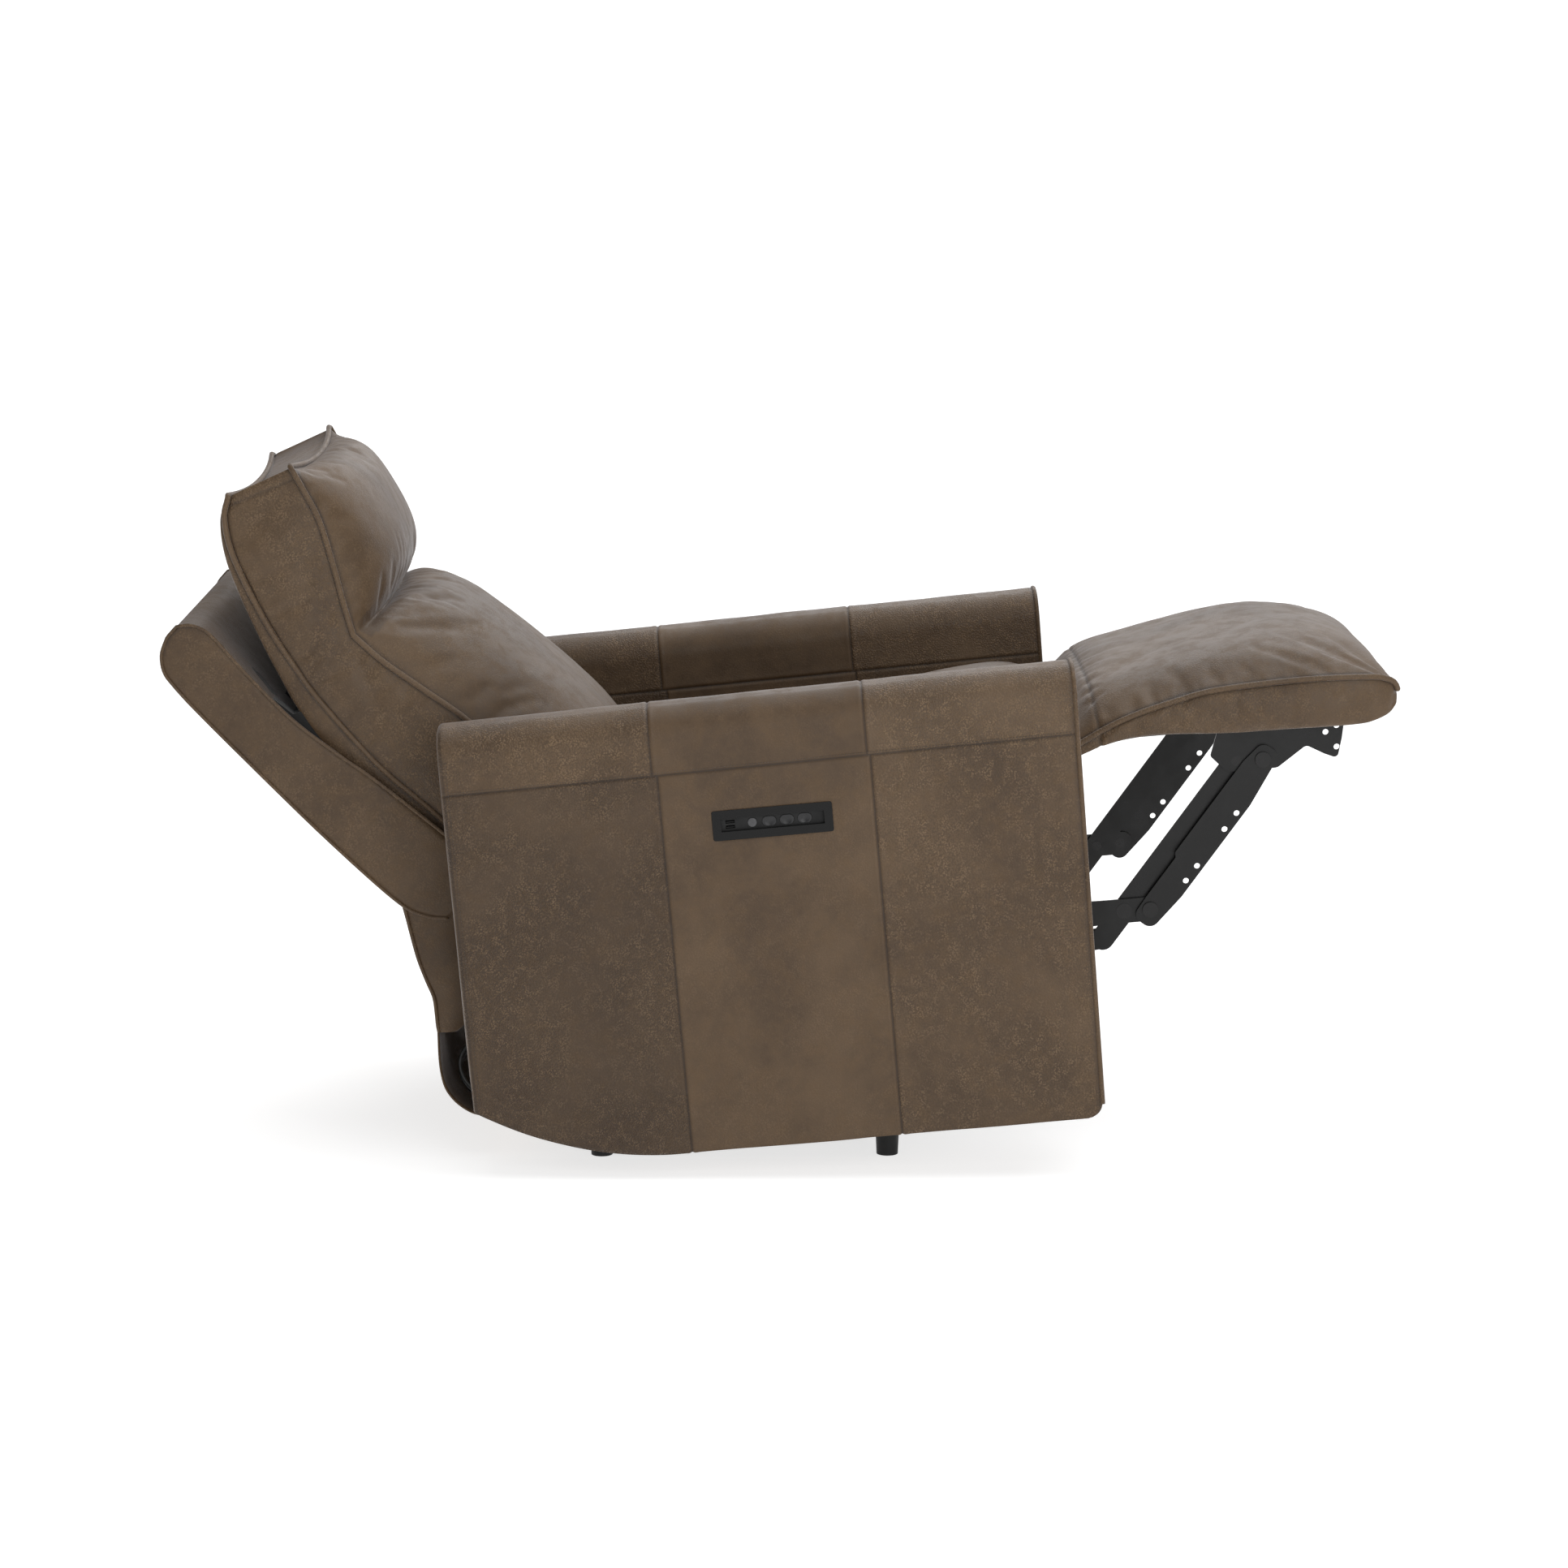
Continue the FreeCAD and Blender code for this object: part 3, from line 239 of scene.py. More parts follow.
# ------------------------------------------------------------------ finishes
def nubuck_leather():
    """Brown nubuck: cloudy colour, pebbled where the grain attribute says, with painted highlight on the pebble tops,
    darker along its seams and with painted shade deep in the back's crease.
    """
    n = Nodes("nubuck_leather")
    grain, tone, seam_and_shade = n.attribute("grain"), n.attribute("tone"), n.attribute("seam_and_shade")
    clouds = n.ramp(n.cloud(5.5, 5.0, 0.6, lumps=0.4), 0.33, 0.68)
    nap = n.ramp(n.cloud(38.0, 5.0, 0.7), 0.35, 0.7)
    fine = n.cloud(900.0, 2.0, 0.6)
    pebbles = n.cells(400.0, "SMOOTH_F1", 0.30)
    patch = n.ramp(n.cloud(9.0, 3.0, 0.6), 0.32, 0.6)
    pebbly = n.sum("MULTIPLY", grain, n.sum("ADD", n.sum("MULTIPLY", patch, 0.75), 0.25))
    color = n.mix(clouds, rgb(0.058, 0.0325, 0.0140), rgb(0.098, 0.059, 0.0285))
    color = n.mix(n.sum("MULTIPLY", nap, 0.35), color, rgb(0.124, 0.078, 0.041))
    lit = n.ramp(pebbles, 0.62, 0.18)
    # painted highlight: pebble tops lighter in patches, partly real wear of the grain
    wear_and_highlight = n.sum("MULTIPLY", n.sum("MULTIPLY", lit, pebbly), n.ramp(n.cloud(70.0, 3.0), 0.42, 0.62))
    color = n.mix(n.sum("MULTIPLY", wear_and_highlight, 0.55), color, rgb(0.270, 0.178, 0.100))
    pits = n.sum("MULTIPLY", n.ramp(pebbles, 0.45, 0.75), pebbly)
    color = n.mix(n.sum("MULTIPLY", pits, 0.60), color, rgb(0.028, 0.016, 0.008))
    color = n.mix(n.ramp(fine, 0.35, 0.7, 0.0, 0.14), color, rgb(0.030, 0.020, 0.013))
    color = n.mix(n.ramp(tone, 0.0, 1.0, 0.0, 0.55), color, rgb(0.165, 0.108, 0.062))
    color = n.mix(n.ramp(tone, 0.0, -1.0, 0.0, 0.55), color, rgb(0.034, 0.019, 0.009))
    # darker along seams, and painted shade where the same attribute marks the back's crease
    color = n.mix(n.sum("MULTIPLY", seam_and_shade, 0.72), color, rgb(0.016, 0.010, 0.007))
    height = n.sum("MULTIPLY", n.sum("MULTIPLY", lit, pebbly), 1.0)
    normal = n.bump(height, 0.00070, 1.0)
    normal = n.bump(fine, 0.00012, 0.6, normal)
    normal = n.bump(n.cloud(120.0, 3.0, 0.6), 0.0006, 0.35, normal)
    roughness = n.ramp(n.sum("SUBTRACT", nap, n.sum("MULTIPLY", pebbly, 0.3)), 0.0, 1.0, 0.50, 0.66)
    return n.finish(color, roughness, normal, Sheen_Weight=0.30, Sheen_Roughness=0.35,
                    Sheen_Tint=(0.80, 0.78, 0.80, 1.0), Specular_IOR_Level=0.36)


def black_paint(name, color, rough, grain=600.0, depth=0.0001):
    n = Nodes(name)
    wear = n.ramp(n.cloud(60.0, 4.0, 0.6), 0.45, 0.75)
    tint = n.mix(n.sum("MULTIPLY", wear, 0.5), rgb(*color), rgb(*[c * 1.9 + 0.001 for c in color]))
    normal = n.bump(n.cloud(grain, 2.0), depth, 0.5)
    return n.finish(tint, n.ramp(n.cloud(35.0, 3.0), 0.3, 0.7, rough - 0.06, rough + 0.08), normal,
                    Specular_IOR_Level=0.30)


def dark_chrome():
    n = Nodes("dark_chrome")
    haze = n.cloud(150.0, 3.0)
    return n.finish(n.mix(n.ramp(haze, 0.3, 0.7), rgb(0.060, 0.060, 0.062), rgb(0.085, 0.085, 0.087)),
                    n.ramp(haze, 0.3, 0.7, 0.14, 0.24), n.bump(haze, 0.00002, 0.3), Metallic=1.0)


def plywood():
    n = Nodes("birch_plywood")
    rings = n.cloud(14.0, 5.0, 0.6, stretch=(1.0, 1.0, 9.0), lumps=1.2)
    tint = n.mix(n.ramp(rings, 0.3, 0.7), rgb(0.36, 0.22, 0.11), rgb(0.55, 0.38, 0.21))
    return n.finish(tint, 0.62, n.bump(rings, 0.0004, 0.4))


def woven(name, dark, light, pitch):
    n = Nodes(name)
    waves = []
    for axis in range(2):
        wave = n.add("ShaderNodeTexWave", bands_direction="XYZ"[axis])
        wave.inputs["Scale"].default_value = pitch
        wave.inputs["Distortion"].default_value = 0.6
        n.join(n.place, wave.inputs["Vector"])
        waves.append(wave.outputs["Fac"])
    cross = n.sum("MULTIPLY", *waves)
    tint = n.mix(n.ramp(cross, 0.1, 0.7), rgb(*dark), rgb(*light))
    tint = n.mix(n.ramp(n.cloud(20.0), 0.4, 0.7, 0.0, 0.3), tint, rgb(*dark))
    return n.finish(tint, 0.85, n.bump(cross, 0.0003, 0.6), Sheen_Weight=0.2)


def gloss_plastic():
    n = Nodes("gloss_bezel")
    haze = n.cloud(90.0, 4.0)
    tint = n.mix(n.ramp(haze, 0.4, 0.8), rgb(0.0016, 0.0015, 0.0015), rgb(0.0032, 0.0030, 0.0030))
    return n.finish(tint, n.ramp(haze, 0.3, 0.8, 0.16, 0.30), n.bump(haze, 0.00003, 0.3),
                    Specular_IOR_Level=0.22)


def lead_jacket():
    n = Nodes("lead_jacket")
    dust = n.cloud(120.0, 4.0)
    return n.finish(n.mix(n.ramp(dust, 0.4, 0.8), rgb(0.008, 0.008, 0.008), rgb(0.026, 0.025, 0.024)),
                    0.5, n.bump(dust, 0.0001, 0.3))


def stitch_thread():
    n = Nodes("bonded_thread")
    twist = n.cloud(700.0, 2.0, stretch=(1.0, 4.0, 1.0))
    return n.finish(n.mix(n.ramp(twist, 0.3, 0.7), rgb(0.034, 0.023, 0.015), rgb(0.085, 0.060, 0.042)),
                    0.6, n.bump(twist, 0.0001, 0.5))


LEATHER = nubuck_leather()
THREAD = stitch_thread()
STEEL_BLACK = black_paint("black_steel_paint", (0.0019, 0.0017, 0.0016), 0.33)
PIN_BLACK = black_paint("blackened_pin", (0.006, 0.0055, 0.0055), 0.30)
PLASTIC_BLACK = black_paint("matte_black_plastic", (0.005, 0.005, 0.005), 0.5, 900.0, 0.00006)
BUTTON = black_paint("button_plastic", (0.020, 0.020, 0.021), 0.30, 900.0, 0.00003)
CHROME = dark_chrome()
WOOD = plywood()
STRAPPING = woven("jute_webbing", (0.060, 0.042, 0.026), (0.21, 0.16, 0.10), 260.0)
DUST_COVER_AND_SHADE = woven("black_dust_cover_and_shade", (0.006, 0.006, 0.006), (0.018, 0.018, 0.018), 420.0)
LINING = woven("dark_lining", (0.012, 0.0080, 0.0052), (0.026, 0.018, 0.012), 700.0)
BEZEL = gloss_plastic()
JACKET = lead_jacket()

SLOT_FINISH = {"brown_leather": LEATHER, "black_steel": STEEL_BLACK, "dark_pins": PIN_BLACK,
               "frame_wood": WOOD, "webbing": STRAPPING, "gloss_black": BEZEL,
               "matte_black": PLASTIC_BLACK, "button_chrome": CHROME, "lead_rubber": JACKET}


def finish_cad_nodes():
    """Give every CAD node the finish of its material slot."""
    slots = {p["node"]: p["material_slot"] for p in frame["record"]["subparts"]}
    for name, node in frame["nodes"].items():
        finish = SLOT_FINISH[slots[name]]
        # the footrest board has a black dust cover; the back frame gets the same dark cloth as painted shade, so the
        # gap below the shell shows dark
        if name in ("footrest_board", "back_frame"):
            finish = DUST_COVER_AND_SHADE
        if name.endswith("_button") and name != "home_button":
            finish = BUTTON
        node.data.materials.clear()
        node.data.materials.append(finish)


finish_cad_nodes()


# ------------------------------------------------------------------ mesh helpers
def mesh_object(name, points, faces, material, smooth=True):
    mesh = bpy.data.meshes.new(name)
    mesh.from_pydata([tuple(p) for p in points], [], faces)
    mesh.materials.append(material)
    if smooth:
        mesh.polygons.foreach_set("use_smooth", [True] * len(mesh.polygons))
    mesh.update()
    piece = bpy.data.objects.new(name, mesh)
    SCENE.collection.objects.link(piece)
    return piece


def grid_faces(rows, wide, start=0):
    """Faces of an open grid of points, row by row."""
    return [(v, v + 1, v + wide + 1, v + wide)
            for r in range(rows - 1) for v in range(start + r * wide, start + r * wide + wide - 1)]


def ring_faces(rings, count):
    """Faces between closed rings of points."""
    return [(i * count + k, i * count + (k + 1) % count, (i + 1) * count + (k + 1) % count, (i + 1) * count + k)
            for i in range(rings - 1) for k in range(count)]


def points_of(piece):
    flat = np.zeros(len(piece.data.vertices) * 3)
    piece.data.vertices.foreach_get("co", flat)
    return flat.reshape(-1, 3)


def move_points(piece, points):
    piece.data.vertices.foreach_set("co", np.asarray(points, np.float32).ravel())
    piece.data.update()


def write_attribute(piece, name, values):
    layer = piece.data.attributes.get(name) or piece.data.attributes.new(name, "FLOAT", "POINT")
    layer.data.foreach_set("value", np.asarray(values, np.float32))


def smooth_line(points, count):
    """A Catmull-Rom line through the points, in count even steps."""
    p = np.array(points, float)
    padded = np.vstack([2 * p[0] - p[1], p, 2 * p[-1] - p[-2]])
    fine = []
    for i in range(1, len(padded) - 2):
        a, b, c, d = padded[i - 1:i + 3]
        for t in np.linspace(0, 1, 24, endpoint=False):
            fine.append(0.5 * (2 * b + (c - a) * t + (2 * a - 5 * b + 4 * c - d) * t ** 2
                               + (3 * b - a - 3 * c + d) * t ** 3))
    fine.append(p[-1])
    return even(np.array(fine), count)


def even(line, count):
    steps = np.concatenate([[0], np.cumsum(np.linalg.norm(np.diff(line, axis=0), axis=1))])
    wanted = np.linspace(0, steps[-1], count)
    return np.stack([np.interp(wanted, steps, line[:, k]) for k in range(line.shape[1])], 1)


def wander(point, size, seed=0.0):
    """Smooth noise, -1 to 1, that changes over size mm."""
    return noise.noise(Vector((point[0] / size + seed, point[1] / size + seed * 1.7, point[2] / size)))


def tube_faces(path, radius, sides=10, closed=False):
    """Points and faces of a round tube along world points."""
    path = np.array(path, float)
    count = len(path)
    tangents = np.gradient(path, axis=0)
    if closed:
        tangents = np.roll(path, -1, 0) - np.roll(path, 1, 0)
    tangents /= np.linalg.norm(tangents, axis=1)[:, None]
    points, faces = [], []
    up = Vector(tangents[0]).orthogonal().normalized()
    for i in range(count):
        t = Vector(tangents[i])
        up = (up - t * up.dot(t)).normalized()
        other = t.cross(up)
        for k in range(sides):
            a = 2 * math.pi * k / sides
            points.append(Vector(path[i]) + (up * math.cos(a) + other * math.sin(a)) * radius)
    rings = count if closed else count - 1
    for i in range(rings):
        for k in range(sides):
            j, l = (i + 1) % count, (k + 1) % sides
            faces.append((i * sides + k, i * sides + l, j * sides + l, j * sides + k))
    if not closed:
        faces.append(tuple(range(sides))[::-1])
        faces.append(tuple((count - 1) * sides + k for k in range(sides)))
    return points, faces


def tubes(name, paths, radius, material, sides=10):
    points, faces = [], []
    for path in paths:
        p, f = tube_faces(path, radius, sides)
        faces += [tuple(v + len(points) for v in face) for face in f]
        points += p
    return mesh_object(name, points, faces, material)


def merge(piece, distance=1e-5):
    """Weld doubled points and turn all faces outwards."""
    import bmesh
    bm = bmesh.new()
    bm.from_mesh(piece.data)
    bmesh.ops.remove_doubles(bm, verts=bm.verts, dist=distance)
    bmesh.ops.recalc_face_normals(bm, faces=bm.faces)
    bm.to_mesh(piece.data)
    bm.free()
    piece.data.update()


def apply_modifiers(piece):
    graph = bpy.context.evaluated_depsgraph_get()
    mesh = bpy.data.meshes.new_from_object(piece.evaluated_get(graph), depsgraph=graph)
    piece.modifiers.clear()
    piece.data = mesh


def thicken(piece, thickness):
    wall = piece.modifiers.new("wall", "SOLIDIFY")
    wall.thickness, wall.offset = thickness, 0.0
    apply_modifiers(piece)


def subdivide(piece, levels=1):
    modifier = piece.modifiers.new("smooth", "SUBSURF")
    modifier.levels = modifier.render_levels = levels
    apply_modifiers(piece)
    piece.data.polygons.foreach_set("use_smooth", [True] * len(piece.data.polygons))


# ------------------------------------------------------------------ stitches
def stitch_tree():
    """Short threads laid along a line: inputs Pitch, Length and Thickness."""
    tree = bpy.data.node_groups.new("stitch_run", "GeometryNodeTree")
    face = tree.interface
    face.new_socket("Geometry", in_out="INPUT", socket_type="NodeSocketGeometry")
    for name, value in (("Pitch", 0.0042), ("Length", 0.0030), ("Thickness", 0.00055)):
        socket = face.new_socket(name, in_out="INPUT", socket_type="NodeSocketFloat")
        socket.default_value = value
    face.new_socket("Material", in_out="INPUT", socket_type="NodeSocketMaterial")
    face.new_socket("Geometry", in_out="OUTPUT", socket_type="NodeSocketGeometry")
    new = tree.nodes.new
    source, sink = new("NodeGroupInput"), new("NodeGroupOutput")
    to_curve = new("GeometryNodeMeshToCurve")
    spread = new("GeometryNodeResampleCurve")
    spread.mode = "LENGTH"
    thread = new("GeometryNodeMeshUVSphere")
    thread.inputs["Segments"].default_value = 6
    thread.inputs["Rings"].default_value = 4
    thread.inputs["Radius"].default_value = 1.0
    shape = new("ShaderNodeCombineXYZ")
    half = new("ShaderNodeMath")
    half.operation = "MULTIPLY"
    half.inputs[1].default_value = 0.5
    sized = new("GeometryNodeTransform")
    tangent = new("GeometryNodeInputTangent")
    turn = new("FunctionNodeAlignRotationToVector")
    turn.axis = "Z"
    lay = new("GeometryNodeInstanceOnPoints")
    real = new("GeometryNodeRealizeInstances")
    paint = new("GeometryNodeSetMaterial")
    links = tree.links.new
    links(source.outputs["Geometry"], to_curve.inputs["Mesh"])
    links(to_curve.outputs["Curve"], spread.inputs["Curve"])
    links(source.outputs["Pitch"], spread.inputs["Length"])
    links(source.outputs["Length"], half.inputs[0])
    links(source.outputs["Thickness"], shape.inputs["X"])
    links(source.outputs["Thickness"], shape.inputs["Y"])
    links(half.outputs[0], shape.inputs["Z"])
    links(thread.outputs["Mesh"], sized.inputs["Geometry"])
    links(shape.outputs[0], sized.inputs["Scale"])
    links(tangent.outputs[0], turn.inputs["Vector"])
    links(spread.outputs["Curve"], lay.inputs["Points"])
    links(sized.outputs[0], lay.inputs["Instance"])
    links(turn.outputs[0], lay.inputs["Rotation"])
    links(lay.outputs[0], real.inputs[0])
    links(real.outputs[0], paint.inputs["Geometry"])
    links(source.outputs["Material"], paint.inputs["Material"])
    links(paint.outputs[0], sink.inputs[0])
    return tree


STITCH_TREE = stitch_tree()


def stitches(name, paths, body, pitch=0.0042, length=0.0030):
    """Topstitching along world paths, made a plain mesh that rides on its body."""
    points, edges = [], []
    for path in paths:
        start = len(points)
        points += [tuple(p) for p in path]
        edges += [(start + i, start + i + 1) for i in range(len(path) - 1)]
    mesh = bpy.data.meshes.new(name)
    mesh.from_pydata(points, edges, [])
    piece = bpy.data.objects.new(name, mesh)
    SCENE.collection.objects.link(piece)
    modifier = piece.modifiers.new("stitches", "NODES")
    modifier.node_group = STITCH_TREE
    for item in STITCH_TREE.interface.items_tree:
        if item.item_type == "SOCKET" and item.in_out == "INPUT":
            wanted = {"Pitch": pitch, "Length": length, "Material": THREAD}.get(item.name)
            if wanted is not None:
                modifier[item.identifier] = wanted
    apply_modifiers(piece)
    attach(piece, body)
    return piece


# ------------------------------------------------------------------ cushions
class Cushion:
    """A cushion between two side faces: its side outline and its middle outline as front and rear chains."""

    def __init__(self, side, edge_front, edge_rear, crown_front, crown_rear, half,
                 rows=70, columns=90, across=14, power=2.6, side_puff=6.0):
        self.side, self.half, self.rows, self.across = side, half, rows, across
        chains = [smooth_line(c, rows) for c in (edge_front, edge_rear, crown_front, crown_rear)]
        self.edge = self.loop(chains[0], chains[1])
        self.crown = self.loop(chains[2], chains[3])
        self.edge_front, self.edge_rear = chains[0], chains[1]
        lean = np.sin(np.linspace(-math.pi / 2, math.pi / 2, columns))
        self.xs = half * (0.55 * np.linspace(-1, 1, columns) + 0.45 * lean)
        self.power, self.side_puff = power, side_puff

    def loop(self, front, rear):
        ends = np.linspace(0, 1, self.across + 2)[1:-1, None]
        top = front[-1] + (rear[-1] - front[-1]) * ends
        bottom = rear[0] + (front[0] - rear[0]) * ends
        return np.vstack([front, top, rear[::-1], bottom])

    def fullness(self, x):
        return (1 - abs(x / self.half) ** self.power) ** (1 / 1.7)

    def build(self, name, material):
        flat, faces = [], []
        count = len(self.edge)
        for x in self.xs:
            for a, b in self.edge + (self.crown - self.edge) * self.fullness(x):
                flat.append((x, a, b))
        faces += ring_faces(len(self.xs), count)
        shares = np.linspace(0, 1, self.across + 2)
        for sign in (-1, 1):
            start = len(flat)
            for r in range(self.rows):
                for s in shares:
                    a, b = self.edge_front[r] + (self.edge_rear[r] - self.edge_front[r]) * s
                    swell = math.sin(math.pi * s) ** 0.7 * math.sin(math.pi * r / (self.rows - 1)) ** 0.4
                    flat.append((sign * (self.half + self.side_puff * swell), a, b))
            faces += grid_faces(self.rows, len(shares), start)
        piece = mesh_object(name, [self.side.at(a, b, x) for x, a, b in flat], faces, material)
        merge(piece)
        return piece


def distances(points, line):
    """Distance of every point to a polyline."""
    line = np.array(line, float)
    best = np.full(len(points), 1e9)
    for a, b in zip(line[:-1], line[1:]):
        d = b - a
        t = np.clip(((points - a) @ d) / max(d @ d, 1e-12), 0, 1)
        best = np.minimum(best, np.linalg.norm(points - (a + t[:, None] * d), axis=1))
    return best


def puff_up(piece, held, cap, pressure=4.0, grow=0.0):
    """Let the cover swell as cloth under pressure, its held points pinned, and cap how far it moves."""
    before = points_of(piece)
    group = piece.vertex_groups.new(name="held")
    for i, weight in enumerate(held):
        if weight > 0:
            group.add([i], float(weight), "REPLACE")
    modifier = piece.modifiers.new("cloth", "CLOTH")
    cloth = modifier.settings
    cloth.quality = 4
    cloth.mass = 0.35
    cloth.tension_stiffness = cloth.compression_stiffness = 14
    cloth.shear_stiffness = 6
    cloth.bending_stiffness = 0.6
    cloth.use_pressure = True
    cloth.uniform_pressure_force = pressure
    cloth.shrink_min = -grow
    cloth.vertex_group_mass = "held"
    cloth.effector_weights.gravity = 0
    modifier.collision_settings.use_collision = False
    modifier.point_cache.frame_start, modifier.point_cache.frame_end = 1, 20
    for step in range(1, 21):
        SCENE.frame_set(step)
    graph = bpy.context.evaluated_depsgraph_get()
    swollen = bpy.data.meshes.new_from_object(piece.evaluated_get(graph))
    after = np.zeros(len(swollen.vertices) * 3)
    swollen.vertices.foreach_get("co", after)
    move = after.reshape(-1, 3) - before
    length = np.linalg.norm(move, axis=1)
    soft = cap * np.tanh(length / cap)
    move *= (soft / np.maximum(length, 1e-9))[:, None]
    piece.modifiers.clear()
    piece.vertex_groups.clear()
    SCENE.frame_set(1)
    move_points(piece, before + move)


def normals_of(piece):
    flat = np.zeros(len(piece.data.vertices) * 3)
    piece.data.vertices.foreach_get("normal", flat)
    return flat.reshape(-1, 3)


# ------------------------------------------------------------------ arms
SEAMS_LOWER = (-80.0, 208.0)
SEAMS_BAND = (-87.0, 204.0)
SWEEP_START, SWEEP_RADIUS = -87.2, 530.0
TOP_ROUND, END_ROUND, CORNER_ROUND = 40.0, 7.0, 24.0
ACROSS = 12


def arm_top(f):
    return ARM_TOP_REAR + (f - ARM_REAR) / (ARM_FRONT - ARM_REAR) * (ARM_TOP_FRONT - ARM_TOP_REAR)


def arm_bottom(f):
    """Level underside that sweeps up behind and is rounded at the front corner."""
    reach = min(max(SWEEP_START - f, 0.0), 280.6)
    corner = max(f - (ARM_FRONT - CORNER_ROUND), 0.0)
    return (ARM_BOTTOM + SWEEP_RADIUS - math.sqrt(SWEEP_RADIUS ** 2 - reach ** 2)
            + CORNER_ROUND - math.sqrt(max(CORNER_ROUND ** 2 - corner ** 2, 0.0)))


def front_lean(z):
    """How far the arm's front end lies behind its top front corner, at height z."""
    return 5.0 * (ARM_TOP_FRONT - z) / 624


def band_seam(f):
    return 566.0 + (f - ARM_REAR) / (ARM_FRONT - ARM_REAR) * 10.0


def ticks(low, high, step, fine_at=(), fine=1.4, reach=7.0):
    """Positions from low to high, step apart and closer near the fine ones."""
    dense = np.linspace(low, high, 4000)
    density = np.full(len(dense), 1 / step)
    for place in fine_at:
        density += (1 / fine - 1 / step) * np.exp(-((dense - place) / reach) ** 2)
    total = np.concatenate([[0], np.cumsum((density[1:] + density[:-1]) / 2 * np.diff(dense))])
    return np.interp(np.linspace(0, total[-1], int(round(total[-1])) + 1), total, dense)


LOW_ROWS = ticks(0, 522, 7, (522,)) / 522
HIGH_ROWS = ticks(0, 60, 6, (0,)) / 60


def arm_section(f):
    """Closed section across an arm at f: (x, z) from the outer bottom, over the top, to the inner bottom."""
    end = min(f - ARM_REAR, ARM_FRONT - f)
    inset = 0.0
    if end < END_ROUND:
        inset = END_ROUND - math.sqrt(END_ROUND ** 2 - (END_ROUND - end) ** 2)
    inset = inset * 0.75 + 0.8
    bottom, seam_and_shade, top = arm_bottom(f) + inset * 0.6, band_seam(f), arm_top(f) - inset
    outer, inner = HALF - inset, ARM_INNER + inset
    side = [bottom + (seam_and_shade - bottom) * r for r in LOW_ROWS]
    side += [seam_and_shade + (top - TOP_ROUND - seam_and_shade) * r for r in HIGH_ROWS[1:]]
    arc = [(TOP_ROUND * (1 - math.cos(a)), top - TOP_ROUND + TOP_ROUND * math.sin(a))
           for a in np.linspace(0, math.pi / 2, 14)[1:]]
    left = [(outer, z) for z in side] + [(outer - d, z) for d, z in arc]
    right = [(inner, z) for z in side] + [(inner + d, z) for d, z in arc]
    shares = np.linspace(0, 1, ACROSS + 2)[1:-1]
    ridge = [(left[-1][0] + (right[-1][0] - left[-1][0]) * s, left[-1][1] + 1.2 * math.sin(math.pi * s))
             for s in shares]
    floor = [(inner + (outer - inner) * s, bottom) for s in shares]
    return left, ridge, right[::-1], floor


PANEL_TONES = {  # (tone, grain) of each leather panel, from rear to front
    "low": ((-0.62, 1.0), (-0.06, 0.18), (0.0, 0.62)),
    "band": ((0.10, 0.65), (0.0, 0.12), (0.42, 0.95)),
    "end": ((0.10, 0.6),)}


